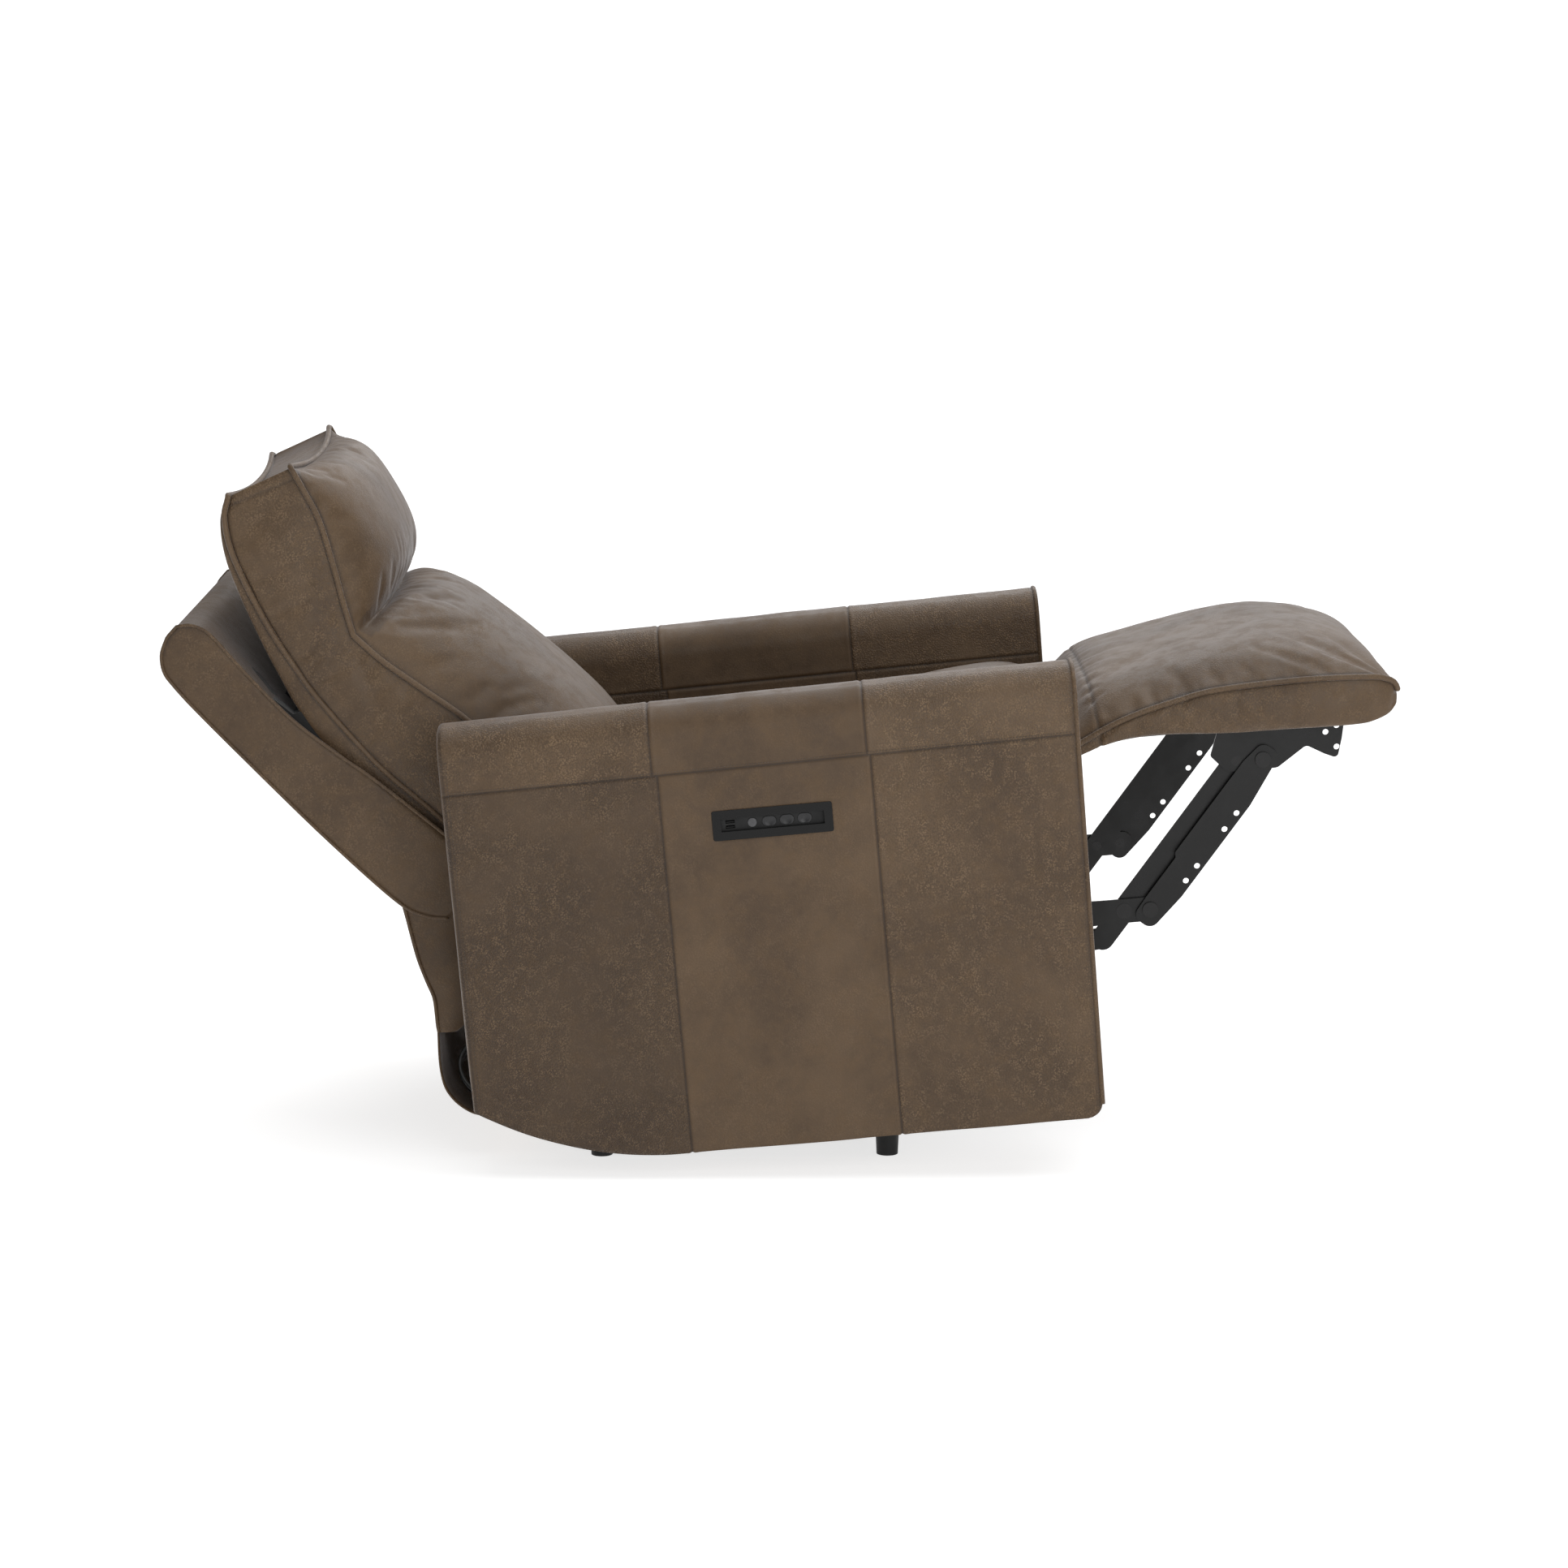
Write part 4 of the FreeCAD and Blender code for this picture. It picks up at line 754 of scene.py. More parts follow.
def arm_cover(name, sign, body, node):
    stations = ticks(ARM_REAR, ARM_FRONT, 6.5, SEAMS_LOWER + SEAMS_BAND + (ARM_REAR, ARM_FRONT))
    flat, faces = [], []
    for f in stations:
        left, ridge, right, floor = arm_section(f)
        loop = left + ridge + right + floor
        flat += [(x, f, z) for x, z in loop]
    count = len(loop)
    faces += ring_faces(len(stations), count)
    shares = np.linspace(0, 1, ACROSS + 2)
    for f, way in ((stations[0], -1), (stations[-1], 1)):
        left, _, right, _ = arm_section(f)
        pairs = list(zip(left, right[::-1]))
        start = len(flat)
        for r, (a, b) in enumerate(pairs):
            for s in shares:
                swell = math.sin(math.pi * s) ** 0.6 * min(1.0, (len(pairs) - 1 - r) / 12, r / 8)
                x, z = a[0] + (b[0] - a[0]) * s, a[1] + (b[1] - a[1]) * s
                if r == len(pairs) - 1:
                    z += 1.2 * math.sin(math.pi * s)
                flat.append((x, f + way * 3.2 * swell, z))
        faces += grid_faces(len(pairs), len(shares), start)
    flat = np.array(flat)
    lean = np.clip((flat[:, 1] - 200) / 290, 0, 1)
    flat[:, 1] -= front_lean(flat[:, 2]) * lean

    piece = mesh_object(name, [(x, f, z) for x, f, z in flat], faces, LEATHER)
    merge(piece, 0.01)
    flat = points_of(piece)
    x, f, z = flat.T
    seam_z = band_seam(f)
    above = z > seam_z
    on_end = (f < ARM_REAR + 2.0) | (f > ARM_FRONT - 2.5 - front_lean(z))
    on_face = ~on_end
    gap = np.abs(z - seam_z)
    for lower, band in zip(SEAMS_LOWER, SEAMS_BAND):
        across = np.where(above, np.abs(f - band), np.abs(f - lower))
        gap = np.minimum(gap, across)
    gap = np.where(on_face, gap, 99.0)
    seam_and_shade = np.exp(-(gap / 1.5) ** 2)
    corner = np.minimum(np.abs(f - (ARM_REAR + 4)), np.abs(f - (ARM_FRONT - 5 - front_lean(z))))
    seam_and_shade = np.maximum(seam_and_shade, 0.7 * np.exp(-(corner / 2.2) ** 2) * on_face)
    tone, grain = np.zeros(len(f)), np.zeros(len(f))
    for part, rows in (("low", ~above), ("band", above)):
        cuts = SEAMS_LOWER if part == "low" else SEAMS_BAND
        for i, inside in enumerate((f < cuts[0], (f >= cuts[0]) & (f < cuts[1]), f >= cuts[1])):
            tone[rows & inside], grain[rows & inside] = PANEL_TONES[part][i]
    tone[on_end], grain[on_end] = PANEL_TONES["end"][0]
    tone = tone - 0.22 * np.clip((200 - z) / 160, 0, 1)

    near_panel = np.zeros(len(f))
    recess = np.zeros(len(f))
    if sign < 0:
        away = np.maximum(np.maximum(PANEL_REAR - f, f - PANEL_FRONT), np.maximum(PANEL_BOTTOM - z, z - PANEL_TOP))
        near_panel = np.clip(1 - away / 40, 0, 1)
        near_panel = near_panel ** 2 * (3 - 2 * near_panel)
        recess = (away < -6.5) & (x > HALF - 10)
    normal = normals_of(piece)
    lift = np.array([1.3 * wander(p, 150, 3 * sign) + 0.55 * wander(p, 55, 7 + sign) for p in flat])
    lift = (lift + 0.5) * (1 - near_panel) - 1.5 * np.exp(-(gap / 1.9) ** 2) + 0.35 * np.exp(-((gap - 5) / 2.5) ** 2)
    lift *= np.where(on_end, 0.3, 1.0)
    flat = flat + normal * lift[:, None]
    flat[:, 0] -= np.where(recess, 21.0, 0.0)
    move_points(piece, [body_point(sign * p[0], p[1], p[2]) for p in flat])
    merge(piece, 1e-6)
    write_attribute(piece, "seam_and_shade", seam_and_shade)
    write_attribute(piece, "tone", tone)
    write_attribute(piece, "grain", grain)
    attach(piece, body)
    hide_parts(node)
    return piece


def arm_welt(sign):
    """Piping round the front end of an arm."""
    left, ridge, right, _ = arm_section(ARM_FRONT - 1.2)
    line = [(x, ARM_FRONT - 1.0 - front_lean(z), z) for x, z in left + ridge + right]
    line = even(np.array(line), 260)
    return [body_point(sign * ((x - ARM_MIDDLE) * 1.006 + ARM_MIDDLE), f, z + (1.6 if z > 640 else 0))
            for x, f, z in line]


def plain_attributes(piece, tone=0.0, grain=0.4, seam_and_shade=0.0):
    count = len(piece.data.vertices)
    for name, value in (("tone", tone), ("grain", grain), ("seam_and_shade", seam_and_shade)):
        write_attribute(piece, name, np.full(count, value))


def piping(name, paths, body, radius=0.0037, tone=0.25, grain=0.5):
    piece = tubes(name, paths, radius, LEATHER)
    plain_attributes(piece, tone, grain)
    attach(piece, body)
    return piece


for word, sign in (("right", -1), ("left", 1)):
    arm_cover(f"{word}_arm_leather", sign, "chair_body", f"{word}_arm_cover")
    piping(f"{word}_arm_front_welt", [arm_welt(sign)], "chair_body", 0.0034, 0.15)
    hem = [body_point(sign * (HALF + 0.2), ARM_REAR + 10, z) for z in np.linspace(140, 610, 120)]
    band = [body_point(sign * (HALF + 0.35), f, band_seam(f) + 3.6)
            for f in np.linspace(ARM_REAR + 14, ARM_FRONT - 12, 200)]
    stitches(f"{word}_arm_topstitch", [hem, band], "chair_body")


# ------------------------------------------------------------------ back and headrest cover
CREASE_ROWS, PILLOW_ROWS = 62, 42


def two_parts(lower, upper):
    first = smooth_line(lower, CREASE_ROWS)
    return np.vstack([first, smooth_line(upper, PILLOW_ROWS + 1)[1:]])


class BackCover(Cushion):
    """Back cushion and headrest pillow in one gusset, with a deep crease between them."""

    def __init__(self):
        self.side, self.half, self.across = BACK, BACK_HALF, 18
        self.rows = CREASE_ROWS + PILLOW_ROWS
        self.edge_front = two_parts(
            [(14, 22), (60, 6), (140, -3), (230, -4), (302, -7), (373, -19), (439, -30), (492, -33)],
            [(492, -33), (530, -12), (575, 15), (635, 48), (683, 64), (713, 73)])
        self.edge_rear = two_parts(
            [(14, -118), (60, -130), (140, -131), (238, -131), (338, -138), (452, -131), (492, -126)],
            [(492, -126), (586, -105), (679, -72), (727, -42), (745, -16)])
        self.rear_welt = self.edge_rear.copy()
        self.edge_rear = two_parts(
            [(14, -118), (60, -132), (140, -150), (238, -164), (338, -174), (410, -174), (492, -156)],
            [(492, -156), (586, -124), (679, -84), (730, -48), (748, -20)])
        crown_front = two_parts(
            [(2, 36), (30, 66), (90, 88), (156, 99), (227, 97), (287, 92), (374, 81), (430, 71), (466, 57), (481, 38),
             (485, 16)],
            [(485, 16), (490, 36), (500, 58), (524, 78), (557, 92), (615, 107), (660, 110), (686, 100), (696, 86),
             (696, 72)])
        crown_rear = two_parts(
            [(4, -118), (60, -134), (140, -152), (238, -168), (338, -180), (410, -180), (492, -162)],
            [(492, -162), (586, -132), (679, -94), (720, -56), (729, -20)])
        self.edge = self.loop(self.edge_front, self.edge_rear)
        self.crown = self.loop(crown_front, crown_rear)
        columns = 84
        lean = np.sin(np.linspace(-math.pi / 2, math.pi / 2, columns))
        self.xs = BACK_HALF * (0.5 * np.linspace(-1, 1, columns) + 0.5 * lean)
        self.power, self.side_puff = 3.0, 7.0


def local(points, side):
    """(x, a, b) in mm of world points, in a side-view frame."""
    p = np.asarray(points) / MM
    y, z = p[:, 1] - CENTRE_SHIFT, p[:, 2] - TILT_HEIGHT
    level_y = y * math.cos(BODY_TILT) - z * math.sin(BODY_TILT)
    level_z = y * math.sin(BODY_TILT) + z * math.cos(BODY_TILT)
    df, dz = -level_y - side.origin[0], level_z + TILT_HEIGHT - side.origin[1]
    return np.stack([p[:, 0], df * side.along[0] + dz * side.along[1],
                     df * side.across[0] + dz * side.across[1]], 1)


def wrinkle(points, ridges):
    """Sum of soft ridges: (start, end, width, height) in the points' own mm."""
    lift = np.zeros(len(points))
    for start, end, width, height in ridges:
        a, b = np.array(start, float), np.array(end, float)
        d = b - a
        t = (points - a) @ d / (d @ d)
        near = np.clip(t, 0, 1)
        away = np.linalg.norm(points - (a + near[:, None] * d), axis=1)
        lift += height * np.exp(-(away / width) ** 2) * np.exp(-np.clip(np.abs(t - 0.5) - 0.35, 0, None) ** 2 * 9)
    return lift


def back_cover():
    shape = BackCover()
    piece = shape.build("back_and_headrest_cover", LEATHER)
    p = local(points_of(piece), BACK)
    edges = [np.array(shape.edge_front), np.array(shape.rear_welt)]
    on_side = np.abs(p[:, 0]) > BACK_HALF - 0.6
    rear = p[:, 2] < np.interp(p[:, 1], edges[1][:, 0], edges[1][:, 1]) + 3
    held = np.zeros(len(p))
    for edge in edges:
        near = distances(p[:, 1:], edge)
        held = np.maximum(held, (near < 3.0) * on_side * 1.0)
    held = np.maximum(held, rear * 1.0)
    held = np.maximum(held, (p[:, 1] < 30) * 1.0)
    crease = (np.abs(p[:, 1] - 485) < 5) & (p[:, 2] < 24) & ~on_side
    held = np.maximum(held, crease * 1.0)
    held = np.maximum(held, ((p[:, 1] > 688) & (p[:, 2] < 76)) * 1.0)
    puff_up(piece, held, 0.0125, pressure=3.0, grow=0.012)
    subdivide(piece)
    p = local(points_of(piece), BACK)
    normal = normals_of(piece)
    lift = np.array([1.6 * wander(q, 170, 2) + 0.8 * wander(q, 60, 5) for q in p])
    creases = []
    for k in range(11):
        x = -205 + 41 * k + 9 * math.sin(2.3 * k)
        spread = 6 * math.sin(5.1 * k)
        creases.append(((x, 478, 40), (x + spread, 425 - 10 * (k % 3), 78), 6.5, -1.1))
        creases.append(((x + 14, 492, 44), (x + 14 - spread, 535 + 8 * (k % 2), 92), 6.0, -0.9))
    creases += [((-290, 470, -50), (-290, 400, -78), 9, -3.0), ((-290, 450, -40), (-290, 372, -50), 7, 2.2),
                ((-290, 520, -40), (-290, 600, -20), 8, -2.0), ((290, 470, -50), (290, 400, -78), 9, -3.0)]
    lift += wrinkle(p, creases)
    seam_and_shade = np.zeros(len(p))
    side_near = np.abs(p[:, 0]) > BACK_HALF - 14
    for edge in edges:
        near = distances(p[:, 1:], edge)
        seam_and_shade = np.maximum(seam_and_shade, np.exp(-(np.clip(near - 3.2, 0, None) / 2.4) ** 2) * side_near)
    lift -= 2.0 * np.exp(-(distances(p[:, 1:], edges[1]) / 5.0) ** 2) * side_near
    top_seam = np.abs(p[:, 1] - (696 + 0.411 * (70 - p[:, 2]))) + 40 * (np.abs(p[:, 0]) < BACK_HALF - 2)
    lift -= 1.1 * np.exp(-(top_seam / 2.2) ** 2)
    seam_and_shade = np.maximum(seam_and_shade, 0.75 * np.exp(-(top_seam / 1.8) ** 2))
    # painted shade: darker deep in the crease between back cushion and headrest, written with the seam darkening
    deep = (np.abs(p[:, 1] - 486) < 14) & (np.abs(p[:, 0]) < BACK_HALF - 6)
    seam_and_shade = np.maximum(seam_and_shade, 0.45 * np.clip((30 - p[:, 2]) / 26, 0, 1) * deep)
    move_points(piece, points_of(piece) + normal * lift[:, None] * MM)
    write_attribute(piece, "seam_and_shade", seam_and_shade)
    write_attribute(piece, "tone", np.where(on_side_now(p), 0.12, 0.02))
    write_attribute(piece, "grain", np.where(on_side_now(p), 0.55, 0.22))
    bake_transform(piece)
    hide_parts("back_cushion", "headrest_pillow")
    return shape


def on_side_now(p):
    return np.abs(p[:, 0]) > BACK_HALF - 3


def blended_piping(name, paths, radius=0.0040):
    piece = tubes(name, paths, radius, LEATHER)
    plain_attributes(piece, 0.28, 0.45)
    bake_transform(piece)
    return piece


BACK_SHAPE = back_cover()


def ring_over_top(shape, chain, top_sag):
    """A welt path up one side, across the top and down the other side."""
    rows = shape.edge_front if chain == "front" else shape.rear_welt
    proud = 1.5 if chain == "front" else 3.6
    near = [(-shape.half - proud, a, b) for a, b in rows]
    far = [(shape.half + proud, a, b) for a, b in rows[::-1]]
    a, b = rows[-1]
    lift = 2.5 if top_sag else 0.5
    middle = [(x, a + lift - top_sag * (1 - abs(x / shape.half) ** 2.2), b)
              for x in np.linspace(-shape.half + 6, shape.half - 6, 60)]
    return [shape.side.at(a, b, x) for x, a, b in near + middle + far]


blended_piping("back_front_welt", [ring_over_top(BACK_SHAPE, "front", 18.0)])
blended_piping("back_rear_welt", [ring_over_top(BACK_SHAPE, "rear", 16.0)])


# ------------------------------------------------------------------ seat cushion
def seat_cover():
    shape = Cushion(LEVEL,
                    [(-66, 440), (-58, 470), (-20, 492), (100, 515), (300, 540), (430, 550), (474, 540), (488, 516)],
                    [(-66, 404), (60, 403), (200, 403), (340, 403), (410, 404), (428, 434), (468, 436), (486, 439)],
                    [(-68, 440), (-60, 484), (-20, 508), (100, 536), (300, 574), (420, 588), (472, 578), (490, 546)],
                    [(-66, 404), (60, 403), (200, 403), (340, 403), (410, 404), (428, 434), (468, 436), (487, 439)],
                    SEAT_HALF, rows=70, columns=80, across=10, side_puff=0.0)
    piece = shape.build("seat_cushion_cover", LEATHER)
    p = local(points_of(piece), LEVEL)
    held = ((p[:, 2] < 444) | (p[:, 1] > 476) | (np.abs(p[:, 0]) > SEAT_HALF - 1)) * 1.0
    puff_up(piece, held, 0.014, pressure=3.0, grow=0.012)
    p = local(points_of(piece), LEVEL)
    move_points(piece, points_of(piece) + normals_of(piece)
                * np.array([1.8 * wander(q, 150, 9) for q in p])[:, None] * MM)
    write_attribute(piece, "tone", np.full(len(p), 0.05))
    write_attribute(piece, "grain", np.full(len(p), 0.3))
    write_attribute(piece, "seam_and_shade", np.zeros(len(p)))
    subdivide(piece)
    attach(piece, "chair_body")
    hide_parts("seat_cushion")
    front = [LEVEL.at(a, b, s * (SEAT_HALF - 1)) for s in (-1,) for a, b in shape.edge_front[4:]]
    far = [LEVEL.at(a, b, SEAT_HALF - 1) for a, b in shape.edge_front[4:]]
    piping("seat_side_welts", [front, far], "chair_body", 0.0036)


seat_cover()


# ------------------------------------------------------------------ footrest pad
def corner_draw(forward):
    """How far the pad's front corners are drawn in, as a share of its width."""
    return 1 - 0.075 * np.clip((forward - 898) / 52, 0, 1) ** 2


def rounded_front(points):
    points = np.array(points, float)
    points[:, 0] *= corner_draw(local(points, LEVEL)[:, 1])
    return points


def pad_cover():
    shape = Cushion(LEVEL,
                    [(486, 534), (508, 545), (540, 560), (579, 574), (640, 589), (692, 598), (804, 602), (900, 598),
                     (926, 592), (937, 585), (941, 575)],
                    [(486, 517), (508, 526), (540, 536), (566, 541), (600, 543), (644, 541), (720, 536), (800, 533),
                     (880, 533), (905, 536), (928, 544), (939, 554)],
                    [(486, 572), (508, 594), (522, 606), (545, 610), (611, 620), (729, 640), (788, 645), (846, 639),
                     (903, 618), (936, 590), (945, 576)],
                    [(486, 524), (508, 531), (540, 533), (566, 533), (600, 533), (644, 533), (720, 533), (800, 533),
                     (880, 533), (905, 535), (930, 543), (943, 555)],
                    PAD_HALF, rows=78, columns=76, across=9, power=2.8, side_puff=4.5)
    piece = shape.build("footrest_pad_cover", LEATHER)
    move_points(piece, rounded_front(points_of(piece)))
    p = local(points_of(piece), LEVEL)
    p[:, 0] /= corner_draw(p[:, 1])
    on_side = np.abs(p[:, 0]) > PAD_HALF - 0.6
    held = ((p[:, 2] < 546) & (np.abs(p[:, 0]) < PAD_HALF - 1)) * 1.0
    held = np.maximum(held, (distances(p[:, 1:], shape.edge_front) < 3) * on_side * 1.0)
    held = np.maximum(held, (p[:, 1] < 514) * 1.0)
    puff_up(piece, held, 0.0105, pressure=3.0, grow=0.012)
    subdivide(piece)
    p = local(points_of(piece), LEVEL)
    p[:, 0] /= corner_draw(p[:, 1])
    folds = [((-296, 940, 572), (-215, 905, 618), 6, -2.6), ((-296, 935, 585), (-230, 880, 622), 5, 2.0),
             ((-290, 925, 592), (-240, 850, 625), 6, -2.0), ((-270, 948, 575), (-190, 935, 600), 6, -2.2),
             ((-230, 955, 565), (-150, 948, 590), 7, 1.8), ((250, 940, 585), (170, 900, 628), 7, -2.4),
             ((-180, 540, 618), (-80, 640, 640), 16, -2.4), ((60, 530, 620), (0, 640, 645), 18, 2.0),
             ((-120, 700, 650), (60, 860, 655), 26, -2.0), ((120, 560, 625), (160, 720, 650), 22, -1.8)]
    lift = wrinkle(p, folds) + np.array([1.8 * wander(q, 140, 11) + 0.8 * wander(q, 50, 4) for q in p])
    bridge = np.abs(p[:, 1] - 526 + 0.04 * (p[:, 2] - 560))
    lift -= 1.6 * np.exp(-(bridge / 2.4) ** 2)
    move_points(piece, points_of(piece) + normals_of(piece) * lift[:, None] * MM)
    seam_and_shade = 0.9 * np.exp(-(bridge / 1.9) ** 2)
    near = distances(p[:, 1:], shape.edge_front)
    seam_and_shade = np.maximum(seam_and_shade, np.exp(-(np.clip(near - 3.0, 0, None) / 2.2) ** 2) * (np.abs(p[:, 0]) > PAD_HALF - 12))
    write_attribute(piece, "seam_and_shade", seam_and_shade)
    write_attribute(piece, "tone", np.where(np.abs(p[:, 0]) > PAD_HALF - 3, 0.10, 0.12))
    write_attribute(piece, "grain", np.where(np.abs(p[:, 0]) > PAD_HALF - 3, 0.45, 0.25))
    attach(piece, "footrest")
    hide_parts("footrest_pad")
    piping("footrest_pad_welt", [list(rounded_front(ring_over_top(shape, "front", 0.0)))], "footrest", 0.0040)


pad_cover()


# ------------------------------------------------------------------ back shell and rear skirt
def shell_cover():
    rear = [(125, -222), (150, -242), (193, -255), (326, -260), (484, -259), (580, -257), (622, -254), (641, -250),
            (660, -235), (671, -212)]
    front = [(125, -134), (160, -136), (322, -153), (390, -164), (472, -174), (566, -172), (631, -168), (658, -176),
             (672, -192)]
    shape = Cushion(BACK, front, rear, front, rear, SHELL_HALF, rows=80, columns=70, across=10, side_puff=1.5)
    piece = shape.build("back_shell_leather", LEATHER)
    cutter = mesh_object("shell_cutter", [BACK.at(u, v, x) for x in (-291, 291) for u, v in
                                          ((40, -246), (560, -245), (632, -232), (632, -60), (40, -60))],
                         [(0, 1, 2, 3, 4), (9, 8, 7, 6, 5), (0, 5, 6, 1), (1, 6, 7, 2), (2, 7, 8, 3), (3, 8, 9, 4),
                          (4, 9, 5, 0)], LEATHER, False)
    modifier = piece.modifiers.new("hollow", "BOOLEAN")
    modifier.operation, modifier.object, modifier.solver = "DIFFERENCE", cutter, "EXACT"
    apply_modifiers(piece)
    bpy.data.objects.remove(cutter)
    p = local(points_of(piece), BACK)
    edge = distances(p[:, 1:], np.vstack([shape.edge_rear, shape.edge_front[::-1]]))
    side = np.abs(p[:, 0]) > SHELL_HALF - 2
    outside = (edge < 1.5) | (np.abs(p[:, 0]) > SHELL_HALF - 4) | (p[:, 1] > 640)
    write_attribute(piece, "seam_and_shade", np.exp(-(np.abs(edge - 3.0) / 1.8) ** 2) * side * 0.8)
    # painted shade: faces inside the hollow get a dark tone
    write_attribute(piece, "tone", np.where(outside, 0.0, -0.9))
    write_attribute(piece, "grain", np.full(len(p), 0.3))
    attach(piece, "back")
    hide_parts("back_shell")
    lines = []
    for sign in (-1, 1):
        loop = [BACK.at(u, v, sign * (SHELL_HALF - 0.5)) for u, v in shape.edge_rear]
        loop += [BACK.at(u, v, sign * (SHELL_HALF - 0.5)) for u, v in shape.edge_front[::-1]]
        lines.append([tuple(q) for q in even(np.array(loop), 220)])
    piping("back_shell_welts", lines, "back", 0.0022, 0.2)


shell_cover()


def pocket_liner_and_gap_shade():
    """Loose dark cloth behind the headrest, from the shell's rim to the rear of the cushion; below the pocket it lies
    flat in the narrow gap, a dark strip that stands in for the shade there.
    """
    reach, deep = BACK_HALF - 8.0, -190.0
    us = np.linspace(128, 632, 90)
    section = [(-reach, deep + k * 5) for k in range(11)]
    section += [(x, -139.0) for x in np.linspace(-reach, reach, 74)[1:-1]]
    section += [(reach, deep + k * 5) for k in range(10, -1, -1)]
    points = []
    for u in us:
        # low is 0 in the narrow gap, where the flat dark strip is painted shade, and 1 in the gathered pocket
        low = min(max((u - 430) / 120, 0.0), 1.0)
        low = low * low * (3 - 2 * low)
        front = -184.0 + 8.0 * low + 22.0 * max((u - 560) / 72, 0.0) * -1.0
        for x, v in section:
            share = (v - deep) / (-139.0 - deep)
            gather = 3.0 * math.sin(x / 13.0 + 2.0 * math.sin(u / 60.0)) * low
            fold = 4.0 * low * wander((x, u, 0), 70, 31) + 2.0 * low * wander((x, u, 0), 26, 8) + gather
            points.append(BACK.at(u, deep + (front + fold - deep) * share, x))
    faces = grid_faces(len(us), len(section))
    piece = mesh_object("pocket_liner_and_gap_shade_cloth", points, faces, LINING)
    thicken(piece, CLOTH_WALL)
    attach(piece, "back")


pocket_liner_and_gap_shade()


def seat_deck_cloth():
    """Dark cloth over the rear seat rail, closing the slot between the seat and the back cushion."""
    path = smooth_line([(-70, 403.5), (-85, 402.5), (-100, 402.5), (-107, 405), (-111, 413)], 24)
    xs = np.linspace(-282, 282, 60)
    points = [body_point(x, f, z + 0.8 * wander((x, f, z), 60, 17)) for f, z in path for x in xs]
    faces = grid_faces(len(path), len(xs))
    piece = mesh_object("seat_deck_cloth", points, faces, LINING)
    thicken(piece, DECK_WALL)
    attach(piece, "chair_body")


seat_deck_cloth()


def skirt():
    path = smooth_line([(-452, 396), (-440, 318), (-424, 262), (-423, 160), (-411, 118), (-379, 91), (-348, 97)], 60)
    xs = np.linspace(-SHELL_HALF + 5, SHELL_HALF - 5, 70)
    turn = np.gradient(path, axis=0)
    turn /= np.linalg.norm(turn, axis=1)[:, None]
    out = np.stack([turn[:, 1], -turn[:, 0]], 1)
    points = []
    for i, (f, z) in enumerate(path):
        share = math.sin(math.pi * i / (len(path) - 1))
        for x in xs:
            wave = share * (3.0 * wander((x, f, z), 90, 21) + 1.4 * math.sin(x / 37 + z / 90))
            points.append(body_point(x, f - out[i][0] * wave, z - out[i][1] * wave))
    faces = grid_faces(len(path), len(xs))
    piece = mesh_object("rear_skirt_leather", points, faces, LEATHER)
    thicken(piece, HIDE_WALL)
    plain_attributes(piece, -0.15, 0.4)
    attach(piece, "chair_body")
    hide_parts("rear_skirt")
    length = float(np.linalg.norm(np.diff(path, axis=0), axis=1).sum()) * MM


skirt()


def skirt_wings():
    """Leather returns at both ends of the rear skirt, running forward to the arms."""
    rows = [(396, -452, -366), (360, -447, -364), (318, -440, -362), (285, -431, -362), (262, -424, -364),
            (240, -423, -370), (222, -423, -382), (212, -422, -396)]
    curve = smooth_line([(z, a, b) for z, a, b in rows], 26)
    paths, wide = [], 12
    points, faces = [], []
    for sign in (-1, 1):
        start = len(points)
        for z, rear, front in curve:
            for share in np.linspace(0, 1, wide):
                f = rear + 2.0 + (front - rear - 2.0) * share
                bow = 4.0 * math.sin(math.pi * share) + 1.2 * wander((sign * 50, f, z), 40, 12)
                points.append(body_point(sign * (SHELL_HALF - 6.5 + bow), f, z))
        faces += grid_faces(len(curve), wide, start)
        paths.append([body_point(sign * (SHELL_HALF - 6.0), f + 2.0, z) for z, f, _ in curve])
    piece = mesh_object("rear_skirt_side_wings", points, faces, LEATHER)
    thicken(piece, HIDE_WALL)
    plain_attributes(piece, -0.1, 0.35)
    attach(piece, "chair_body")
    piping("rear_skirt_side_welts", paths, "chair_body", 0.0028)


skirt_wings()


# ------------------------------------------------------------------ supply leads, springs, control bezel
def lead(name, node, route):
    curve = bpy.data.curves.new(name, "CURVE")
    curve.dimensions = "3D"
    spline = curve.splines.new("NURBS")
    spline.points.add(len(route) - 1)
    for point, place in zip(spline.points, route):
        point.co = (*body_point(*place), 1.0)
    spline.order_u = 3
    spline.use_endpoint_u = True
    curve.bevel_depth = 0.003
    curve.bevel_resolution = 4
    curve.resolution_u = 12
    curve.use_fill_caps = True
    curve.materials.append(JACKET)
    piece = bpy.data.objects.new(name, curve)
    SCENE.collection.objects.link(piece)
    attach(piece, "chair_body")
    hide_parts(node)


lead("upper_supply_lead", "supply_lead_upper",
     [(-262, -330, 150), (-262, -330, 180), (-268, -356, 196), (-272, -380, 190), (-275, -396, 172),
      (-276, -398, 150), (-275, -388, 128), (-272, -370, 112), (-272, -345, 112)])
lead("lower_supply_lead", "supply_lead_lower",
     [(-240, -330, 150), (-240, -330, 176), (-248, -352, 188), (-254, -374, 184), (-259, -392, 168),
      (-262, -400, 148), (-262, -394, 126), (-258, -374, 104), (-258, -345, 104)])


COIL_RADIUS, COIL_WIRE = 3.9, 0.00085


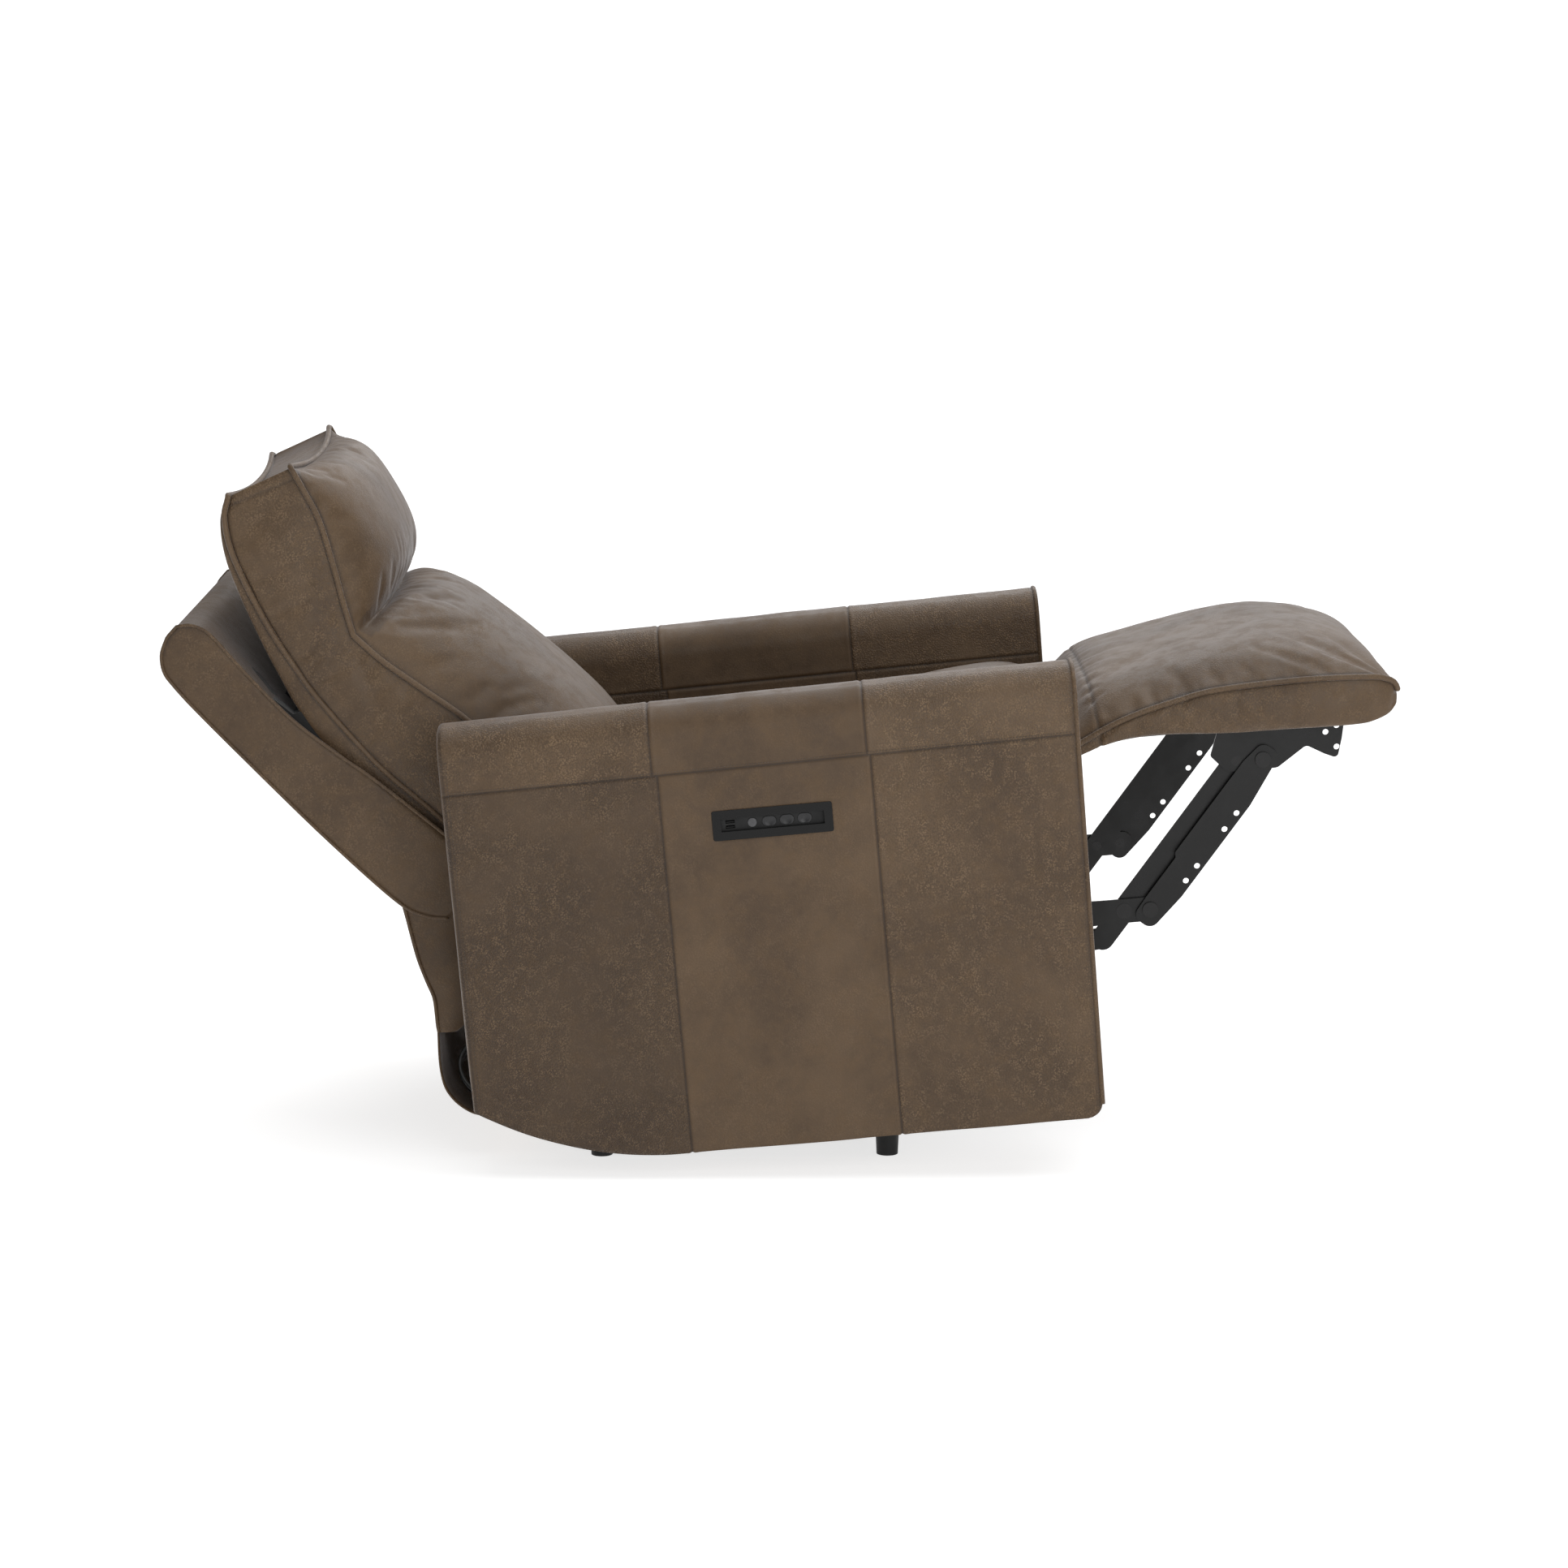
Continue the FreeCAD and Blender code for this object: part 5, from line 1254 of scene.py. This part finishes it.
def return_springs():
    """Coil springs with end hooks on the footrest brackets."""
    paths = []
    for sign in (-1, 1):
        start, end = (801.0, 522.0), (845.0, 522.0)
        x = sign * 234.0
        line = [(x + sign * 7, start[0], start[1]), (x, start[0], start[1])]
        turns = 15
        for t in np.linspace(0, 1, turns * 10):
            a = 2 * math.pi * turns * t
            line.append((x + COIL_RADIUS * math.cos(a), start[0] + 3 + (end[0] - start[0] - 6) * t,
                         start[1] + COIL_RADIUS * math.sin(a)))
        line += [(x, end[0], end[1]), (x + sign * 7, end[0], end[1])]
        paths.append([body_point(*p) for p in line])
    piece = tubes("footrest_return_springs", paths, COIL_WIRE, STEEL_BLACK, 6)
    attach(piece, "footrest")
    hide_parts("footrest_springs")


return_springs()


def control_bezel():
    """The bezel with its edges softened, so that its gloss catches the light."""
    source = frame["nodes"]["control_bezel"]
    piece = bpy.data.objects.new("control_bezel_gloss", source.data.copy())
    SCENE.collection.objects.link(piece)
    merge(piece, 1e-6)
    soft = piece.modifiers.new("soft_edges", "BEVEL")
    soft.width, soft.segments, soft.limit_method, soft.angle_limit = 0.0016, 3, "ANGLE", math.radians(40)
    apply_modifiers(piece)
    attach(piece, "chair_body")
    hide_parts("control_bezel")


control_bezel()


# ------------------------------------------------------------------ floor and light
def studio():
    n = Nodes("studio_floor")
    grain = n.cloud(4.0)
    n.finish(n.mix(n.ramp(grain, 0.3, 0.7), rgb(0.50, 0.50, 0.50), rgb(0.52, 0.52, 0.52)), 0.9, None,
             Specular_IOR_Level=0.0, Emission_Color=(1.0, 1.0, 1.0, 1.0), Emission_Strength=0.72)
    reach = 14.0
    corners = [(-reach, -reach, 0), (reach, -reach, 0), (reach, reach, 0), (-reach, reach, 0)]
    floor = mesh_object("studio_floor", corners, [(0, 1, 2, 3)], n.material, False)

    world = bpy.data.worlds.new("studio")
    world.use_nodes = True
    tree = world.node_tree
    tree.nodes.clear()
    out, mix = tree.nodes.new("ShaderNodeOutputWorld"), tree.nodes.new("ShaderNodeMixShader")
    rays = tree.nodes.new("ShaderNodeLightPath")
    lit, seen = tree.nodes.new("ShaderNodeBackground"), tree.nodes.new("ShaderNodeBackground")
    lit.inputs["Color"].default_value = (1.0, 1.0, 1.0, 1.0)
    lit.inputs["Strength"].default_value = 0.34
    seen.inputs["Color"].default_value = (1.0, 1.0, 1.0, 1.0)
    seen.inputs["Strength"].default_value = 1.3
    tree.links.new(rays.outputs["Is Camera Ray"], mix.inputs[0])
    tree.links.new(lit.outputs[0], mix.inputs[1])
    tree.links.new(seen.outputs[0], mix.inputs[2])
    tree.links.new(mix.outputs[0], out.inputs[0])
    SCENE.world = world
    SCENE.view_settings.view_transform = "Standard"

    sun = bpy.data.lights.new("ceiling", "SUN")
    sun.energy, sun.angle = 2.2, math.radians(75)
    ceiling = bpy.data.objects.new("ceiling", sun)
    SCENE.collection.objects.link(ceiling)
    ceiling.rotation_euler = (math.radians(16), math.radians(8), 0)
    for name, place, target, size, power in (
            ("front_fill", (-4.6, -1.6, 2.0), (0.0, 0.0, 0.5), 3.0, 85.0),
            ("rear_rim", (3.2, -0.6, 2.6), (0.0, 0.0, 0.7), 2.6, 34.0)):
        data = bpy.data.lights.new(name, "AREA")
        data.shape, data.size, data.energy = "SQUARE", size, power
        lamp = bpy.data.objects.new(name, data)
        SCENE.collection.objects.link(lamp)
        lamp.location = place
        lamp.rotation_mode = "QUATERNION"
        lamp.rotation_quaternion = (Vector(target) - Vector(place)).to_track_quat("-Z", "Y")


studio()
